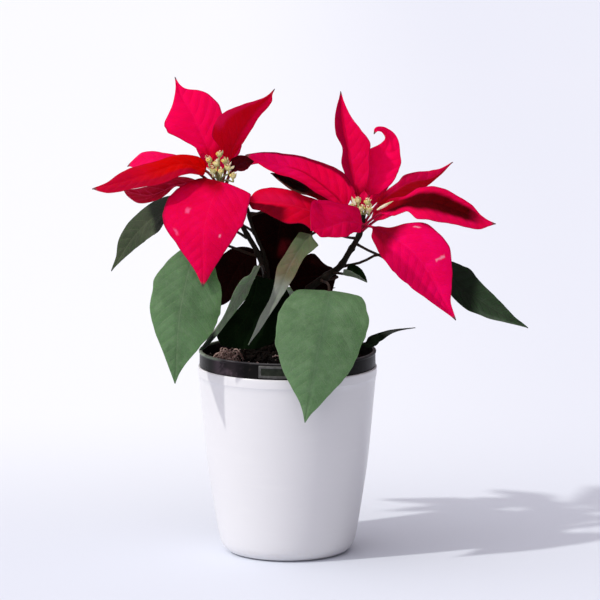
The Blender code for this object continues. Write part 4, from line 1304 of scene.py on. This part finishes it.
def nursery_pot():
    """Black pot: body inside the cover pot, collar with a rolled lip on the white rim."""
    top, lip, inside = COLLAR_TOP, COLLAR_RADIUS, COLLAR_RADIUS - COLLAR_WALL
    profile = [
        (0, BODY_FLOOR_Z), (BODY_FOOT_RADIUS - BODY_WALL, BODY_FLOOR_Z),
        (BODY_TOP_RADIUS - BODY_WALL, SEAT + BODY_WALL),
        (inside, SEAT + BODY_WALL + 0.4), (inside, top - 0.3), (inside + 0.5, top),
        (lip - 0.1, top), (lip + 0.5, top - 0.6), (lip + 0.4, top - 1.8), (lip - 0.1, top - 2.3),
        (lip, SEAT), (BODY_TOP_RADIUS, SEAT), (BODY_FOOT_RADIUS, BODY_FOOT_Z), (0, BODY_FOOT_Z),
    ]
    verts, faces = turned(rounded(profile, 3, 0.5))
    item = add_mesh("nursery_pot_shell", verts, faces, [nursery_look()])
    face_outward(item)
    keep(item, "nursery_pot", "nursery_pot")


def graded(inner, outer, steps):
    """Places from -outer to outer, closer together in the border between inner and outer."""
    border = np.linspace(inner, outer, 4)
    return np.unique(np.round(np.r_[-border, np.linspace(-inner, inner, steps), border], 3))


def collar_frame():
    """The raised rectangular frame on the collar's front, following its curve."""
    middle = SEAT + COLLAR_HEIGHT / 2 - 0.4
    outer, inner = TAB_WIDTH / 2, TAB_WIDTH / 2 - TAB_BORDER
    tall, low = TAB_HEIGHT / 2, TAB_HEIGHT / 2 - TAB_BORDER
    xs, zs = graded(inner, outer, 9), graded(low, tall, 5)
    verts, faces, kinds = [], [], []
    for layer in (0, 1):
        for z in zs:
            for x in xs:
                edge = min(outer - abs(x), tall - abs(z))
                raised = TAB_RISE * smooth(np.array(edge / 0.6)) if layer else -0.5
                well = smooth(np.array(min(inner - abs(x), low - abs(z)) / 0.5 + 0.5)) if layer else 0
                r = COLLAR_RADIUS + raised - TAB_WELL * well
                turn = -math.pi / 2 + math.radians(TAB_TURN) + x / COLLAR_RADIUS
                verts.append((r * math.cos(turn), r * math.sin(turn), middle + z))
    n, m = len(xs), len(zs)
    for layer in (0, 1):
        for i in range(m - 1):
            for j in range(n - 1):
                a = layer * n * m + i * n + j
                quad = (a, a + 1, a + n + 1, a + n)
                faces.append(quad if layer else quad[::-1])
                across, up = (xs[j] + xs[j + 1]) / 2, (zs[i] + zs[i + 1]) / 2
                kinds.append(1 if layer and abs(across) < inner and abs(up) < low else 0)
    border = list(range(n)) + [i * n + n - 1 for i in range(1, m)]
    border += [(m - 1) * n + j for j in range(n - 2, -1, -1)] + [i * n for i in range(m - 2, 0, -1)]
    for a, b in zip(border, border[1:] + border[:1]):
        faces.append((a, b, b + n * m, a + n * m))
        kinds.append(0)
    frame_tones = (0.05, 0.05, 0.047), (0.085, 0.085, 0.08)
    panel_tones = (0.008, 0.011, 0.007), (0.018, 0.022, 0.015)
    looks = [
        plain_look("frame_plastic", *frame_tones, 0.35, 300, Specular_IOR_Level=0.2),
        plain_look("panel_plastic", *panel_tones, 0.4, 200, Specular_IOR_Level=0.1),
    ]
    item = add_mesh("collar_frame", np.array(verts) * MM, faces, looks, face_looks=kinds)
    face_outward(item)
    keep(item, "nursery_pot")


# Growing medium


def lumpy(x, y):
    """Height of the growing medium's surface above its mean level."""
    h = 0.0
    for k, (fx, fy, a) in enumerate(SOIL_WAVES):
        h += a * np.sin(fx * x + 1.7 * k) * np.sin(fy * y + 0.9 * k + 0.5)
    return h


def soil_body():
    """Growing medium: uneven top, crumbled edge against the collar, tapering body below."""
    steps, rows = 150, 44
    turn = round_turn(steps)
    verts = []
    for r in SOIL_RADIUS * np.linspace(0, 1, rows) ** 0.8:
        x, y = r * np.cos(turn), r * np.sin(turn)
        mound = 2.2 * np.exp(-(((x - 4) ** 2 + (y - 5) ** 2) / 130))
        calm = min(1, 0.35 + 0.65 * r / 20)
        z = SOIL_Z + SOIL_RISE + lumpy(x, y) * calm + mound - 0.8 * (r / SOIL_RADIUS) ** 6
        verts.append(circle(turn, r, z))
    inner = BODY_TOP_RADIUS - BODY_WALL - 0.35
    low = BODY_FOOT_RADIUS - BODY_WALL - 0.7
    foot = BODY_FLOOR_Z + 0.4
    below = (SOIL_RADIUS, SEAT + BODY_WALL + 0.9), (inner, SEAT + BODY_WALL + 0.3), (low, foot), (0.01, foot)
    for r, z in below:
        verts.append(circle(turn, r, z))
    # the growing medium's tones are nearly black: its own dark colour and painted shade under the leaves
    look = soil_look("soil_dark", (0.002, 0.0016, 0.0013), (0.013, 0.009, 0.007))
    faces = strip_faces(rows + len(below), steps)
    item = add_mesh("growing_medium", np.vstack(verts) * MM, faces, [look])
    face_outward(item)
    keep(item, "soil", "soil")


def chunk(pick, size):
    """A small irregular lump."""
    bm = bmesh.new()
    bmesh.ops.create_icosphere(bm, subdivisions=2, radius=size)
    stretch = [pick.uniform(0.6, 1.3) for _ in range(3)]
    off = [pick.uniform(0, 9) for _ in range(3)]
    for v in bm.verts:
        n = sum(math.sin(v.co[k] * turns / size + off[k]) for k, turns in enumerate((3, 4, 3.4)))
        v.co = Vector([v.co[k] * stretch[k] for k in range(3)]) * (1 + 0.16 * n)
    verts = np.array([v.co for v in bm.verts])
    faces = [tuple(v.index for v in f.verts) for f in bm.faces]
    bm.free()
    return verts, faces


def crumbs(name, look, count, low, high, seed, lift=0.3):
    """Loose lumps on the growing medium, with sizes from low to high."""
    pick = random.Random(seed)
    parts = []
    while len(parts) < count:
        r = (SOIL_RADIUS - high - 1) * math.sqrt(pick.random())
        a = pick.uniform(0, 2 * math.pi)
        x, y = r * math.cos(a), r * math.sin(a)
        size = low + (high - low) * pick.random() ** 2
        verts, faces = chunk(pick, size)
        z = SOIL_Z + SOIL_RISE + float(lumpy(x, y)) + lift * size
        parts.append((verts + np.array([x, y, z]), faces))
    verts, faces = joined(parts)
    keep(add_mesh(name, verts * MM, faces, [look]), "soil")


def fibres():
    """Dry curled roots and husks lying on the growing medium, most of them in a heap at the left."""
    pick = random.Random(11)
    look = plain_look("fibre_dry", (0.5, 0.35, 0.31), (0.24, 0.15, 0.13), 0.75, 500)
    parts = []
    for k in range(FIBRE_COUNT):
        heaped = k < FIBRES_LEFT
        if heaped:
            x, y = pick.uniform(-52, -37), pick.uniform(-38, 2)
        else:
            a, r = pick.uniform(0, 6.28), 56 * math.sqrt(pick.random())
            x, y = r * math.cos(a), r * math.sin(a)
        if math.hypot(x, y) > 57:
            continue
        a = pick.uniform(0, 6.28)
        c, s = math.cos(a), math.sin(a)
        span = pick.uniform(5, 15)
        base = SOIL_Z + 0.6 + float(lumpy(x, y))
        rise = pick.uniform(0.5, 9.0) if heaped else pick.uniform(0.2, 2.0)
        points = []
        for t in (0, 0.35, 0.7, 1.0):
            wob = pick.uniform(-2.0, 2.0)
            ahead = (t - 0.5) * span
            z = base + rise * math.sin(math.pi * t) + 0.3 * k % 1
            px, py = x + ahead * c - wob * s, y + ahead * s + wob * c
            inward = 1.0 if math.hypot(px, py) < 62 else 0.9
            points.append((px * inward, py * inward, z))
        radius = pick.uniform(0.3, 0.85) * (1 - 0.6 * np.linspace(0, 1, 16) ** 2)
        parts.append(tube(points, np.outer(radius, np.ones(7)), 8, capped=True))
    verts, faces = joined(parts)
    keep(add_mesh("dry_fibres", verts * MM, faces, [look]), "soil")


# Small flowers


def gland_ring(r, h, facing, around=18, section=8):
    """The lipped gland at the cup's side: a ring stretched sideways, turned to the angle facing."""
    c, s = math.cos(facing), math.sin(facing)
    verts = []
    for t in round_turn(around):
        for p in round_turn(section):
            wide = 0.42 * r + 0.17 * r * math.cos(p)
            x, y = 1.02 * r + 0.16 * r * math.sin(p) + 0.05, wide * math.cos(t) * 1.35
            verts.append((x * c - y * s, x * s + y * c, 0.72 * h + wide * math.sin(t) * 0.8))
    # the last ring joins the first
    faces = [tuple(i % len(verts) for i in face) for face in strip_faces(around + 1, section)]
    return np.array(verts), faces


def cup_parts(pick, r, h, steps=30):
    """One small flower: a green urn with a toothed mouth, a yellow lipped gland and a tuft of stamens."""
    urn = (0.45, 0.1), (0.85, 0.3), (1, 0.55), (0.92, 0.78), (0.7, 0.92), (0.5, 0.9), (0.3, 0.7)
    profile = [(0.05, 0)] + [(a * r, b * h) for a, b in urn] + [(0.05, 0.6 * h)]
    turn = round_turn(steps)
    run = smooth_run(profile, 4)
    rib = 1 + 0.03 * np.sin(10 * turn)
    rows = []
    for a, z in run:
        tooth = 0.12 * h * np.maximum(0, np.sin(5 * turn)) if 0.75 * h < z else 0
        rows.append(circle(turn, a * rib, z + tooth))
    cup = (np.vstack(rows), strip_faces(len(run), steps))
    gland = gland_ring(r, h, pick.uniform(0, 6.28))
    reds, golds = [], []
    for _ in range(STAMENS):
        a, lean = pick.uniform(0, 6.28), pick.uniform(0.05, 0.5) * r
        run = (0.1 * r, 0.6 * h), (0.5 * lean, 0.85 * h), (lean, h * pick.uniform(1.0, 1.32))
        points = [(out * math.cos(a), out * math.sin(a), z) for out, z in run]
        reds.append(tube(points, np.full((7, 6), 0.085 * r), 5))
        verts, faces = chunk(pick, 0.17 * r)
        golds.append((verts + np.array(points[-1]), faces))
    return cup, gland, joined(reds), joined(golds)


def cyathia(side):
    """The small flowers of one head, each with the top of its stalk."""
    green_tones = (0.4, 0.42, 0.12), (0.72, 0.62, 0.3)
    looks = [
        plain_look(f"cup_green_{side}", *green_tones, 0.4, 380, Specular_IOR_Level=0.3),
        plain_look(f"gland_gold_{side}", (0.85, 0.62, 0.08), (0.9, 0.75, 0.25), 0.25, 700, Coat_Weight=0.6),
        plain_look(f"stamen_red_{side}", (0.62, 0.05, 0.06), (0.8, 0.2, 0.12), 0.4, 700),
        plain_look(f"pollen_{side}", (0.92, 0.82, 0.55), (0.85, 0.7, 0.35), 0.7, 900),
    ]
    for k, at in enumerate(CUPS[side], 1):
        pick = random.Random(f"{side}{k}")
        cup, gland, reds, golds = cup_parts(pick, CUP_RADIUS, CUP_HEIGHT * CUP_SHARE)
        stalk = tube([(0, 0, -1.6), (0.05, 0, 0.0), (0, 0, 0.5)], np.full((6, 12), 0.75), 4)
        verts, faces = joined([cup, stalk, gland, reds, golds])
        kinds = []
        for kind, part in enumerate((cup[1] + stalk[1], gland[1], reds[1], golds[1])):
            kinds += [kind] * len(part)
        lean = np.array([pick.uniform(-0.14, 0.14), pick.uniform(-0.2, 0.05)])
        verts[:, :2] += verts[:, 2:] * lean
        verts = verts + np.array(at) - np.array([0, 0, CUP_HEIGHT / 2])
        item = add_mesh(f"small_flower_{side}_{k}", verts * MM, faces, looks, face_looks=kinds)
        keep(item, "cyathia", f"cyathium_{side}_{k}")


def sliver(start, way, side, long, wide, hollow, bend):
    """A small pointed, hollow leaf from its foot along way; side is the direction of its width."""
    way, side = np.asarray(way, float), np.asarray(side, float)
    way /= np.linalg.norm(way)
    side -= way * (side @ way)
    side /= np.linalg.norm(side)
    up = np.cross(side, way)
    rings, across = 14, 7
    t = np.linspace(0, 1, rings)
    half = wide * np.sin(math.pi * np.clip(t, 0.03, 0.985) ** 0.75) ** 0.8
    s = np.linspace(-1, 1, across)
    rows = []
    for k, share in enumerate(t):
        middle = start + way * (long * share) + up * (bend * long * share * share)
        cup = hollow * half[k] * s * s
        flat = middle + np.outer(half[k] * s, side)
        top, low = flat + np.outer(cup + 0.11, up), flat + np.outer(cup - 0.11, up)
        rows.append(np.vstack([top, low[::-1]]))
    return np.vstack(rows), strip_faces(rings, 2 * across) + end_faces(rings, 2 * across)


def tufts(side):
    """Pale pointed scales and threads among the small flowers, and the stalks that carry the flowers."""
    pick = random.Random(f"tuft {side}")
    cups = [np.array(at, float) for at in CUPS[side]]
    crown = np.array(STEMS[side]["path"][-1], float)
    middle = sum(cups) / len(cups)
    up = np.array([0.0, 0.0, 1.0])
    # which look a face takes
    stalk, scale, thread = 0, 1, 2
    parts, kinds = [], []

    def add(part, kind):
        parts.append(part)
        kinds.extend([kind] * len(part[1]))

    for at in cups:
        foot = at - (CUP_HEIGHT / 2 + 0.7) * up
        bow = (crown + foot) / 2 + 1.2 * up
        points = [crown + (foot - crown) * 0.06, bow, foot - 1.2 * up, foot + 0.4 * up]
        add(tube(points, np.full((18, 8), 0.62), 6), stalk)
    for k in range(TUFT_COUNT[side]):
        at = cups[k % len(cups)]
        away = at - middle
        away[2] = 0.3 * abs(away[2])
        way = away * pick.uniform(0.05, 0.3)
        way = way + np.array([pick.uniform(-1, 1), pick.uniform(-0.9, 0.3), pick.uniform(0.5, 1.7)])
        foot = at + np.array([pick.uniform(-2.2, 2.2), pick.uniform(-1.6, 1.2), pick.uniform(-3.0, 1.4)])
        width_way = (pick.uniform(-1, 1), pick.uniform(-0.5, 0.5), pick.uniform(-0.6, 0.6))
        kind = thread if k % 3 == 2 else scale
        wide = pick.uniform(0.16, 0.24) if kind == thread else pick.uniform(0.55, 1.1)
        add(sliver(foot, way, width_way, pick.uniform(2.4, 4.6), wide, 0.5, pick.uniform(-0.25, 0.3)), kind)
    for foot, way, long in PALE_SLIVERS[side]:
        add(sliver(np.array(foot), way, (0.1, -0.4, 1.0), long, 1.3, 0.5, 0.1), scale)
    verts, faces = joined(parts)
    looks = [
        plain_look(f"flower_stalk_{side}", (0.16, 0.17, 0.06), (0.26, 0.24, 0.1), 0.5, 500),
        plain_look(f"scale_cream_{side}", (0.95, 0.83, 0.6), (0.62, 0.6, 0.3), 0.55, 200),
        plain_look(f"thread_pink_{side}", (0.9, 0.6, 0.5), (0.75, 0.25, 0.25), 0.5, 400),
    ]
    keep(add_mesh(f"flower_tuft_{side}", verts * MM, faces, looks, face_looks=kinds), "cyathia")


# The whole plant


def bracts():
    """Both flower heads: bracts, then the small flowers in their middle."""
    under = blade_look(
        "bract_under", ((0.36, 0.002, 0.02), (0.27, 0.001, 0.01), (0.46, 0.004, 0.04), (0.62, 0.03, 0.1)),
        0.5, 0.18, tip=DRY_TIP, **BRACT_SHEEN,
    )
    upper = {}
    for name, (r, b, clear, zones) in BRACT_TINTS.items():
        veins = (min(1, 1.05 * r + 0.03), 0.015, 1.6 * b + 0.02)
        tones = (r, 0, b), (0.88 * r, 0, 0.75 * b), (1.03 * r, 0.001, 1.3 * b), veins
        upper[name] = blade_look(
            f"bract_{name}", tones, clear, 0.45 * clear, zones=zones,
            tip=None if name in BLUNT_BRACTS else DRY_TIP, **BRACT_SHEEN,
        )
    heads = (
        ("left", LEFT_BRACTS, ((0.15, 0.012, 0.013), (0.13, 0.02, 0.013), (0.22, 0.006, 0.014))),
        ("right", RIGHT_BRACTS, ((0.3, 0.002, 0.026), (0.24, 0.002, 0.02), (0.42, 0.002, 0.05))),
    )
    seed = FIRST_SEED
    for side, specs, stalk_tones in heads:
        stalk = stalk_look(f"bract_stalk_{side}", *stalk_tones, 240, 290)
        length = through(STEMS[side]["path"])[1]
        for name, spec in specs.items():
            share = 1 - spec["down"] / length[-1]
            looks = [upper[f"{side}_{name}"], under, stalk]
            blade(f"bract_{side}_{name}", side, share, spec, looks, "bracts", seed)
            seed += SEED_STEP
        cyathia(side)
        tufts(side)
    return seed


def leaves(seed):
    """Green, olive and maroon leaves on all three stems."""
    green = {}
    for name, (tones, vein_share, net_share, light, zones) in LEAF_TINTS.items():
        green[name] = blade_look(f"leaf_{name}", tones, vein_share, net_share, zones=zones, **light)
    tones = (0.022, 0.012, 0.009), (0.02, 0.016, 0.01), (0.036, 0.014, 0.01)
    stalk = stalk_look("leaf_stalk", *tones, 170, 260)
    for name, spec in LEAVES.items():
        top, under, slot = LEAF_LOOKS.get(name, PLAIN_LEAF)
        blade(f"leaf_{name}", spec["stem"], spec["at"], spec, [green[top], green[under], stalk], slot, seed)
        seed += SEED_STEP


def woody_stems():
    bark = (0.009, 0.006, 0.0045), (0.007, 0.007, 0.004), (0.017, 0.009, 0.006)
    verts, faces = joined([stem_tube(name, spec) for name, spec in STEMS.items()])
    item = add_mesh("woody_stems", verts * MM, faces, [stalk_look("stem_skin", *bark, 150, 250, 0.55)])
    keep(item, "stems", "stems")


def build():
    set_stage()
    cover_pot()
    nursery_pot()
    collar_frame()
    soil_body()
    # nearly black crumbs: their own dark colour and painted shade under the leaves
    crumb = soil_look("soil_crumb", (0.004, 0.003, 0.0025), (0.022, 0.015, 0.012), 400)
    crumbs("soil_crumbs", crumb, count=420, low=0.7, high=2.6, seed=3)
    grit = plain_look("grit_pale", (0.55, 0.5, 0.46), (0.4, 0.34, 0.3), 0.8, 400)
    crumbs("pale_grit", grit, count=26, low=0.5, high=1.2, seed=5, lift=0.7)
    fibres()
    woody_stems()
    seed = bracts()
    leaves(seed)


build()
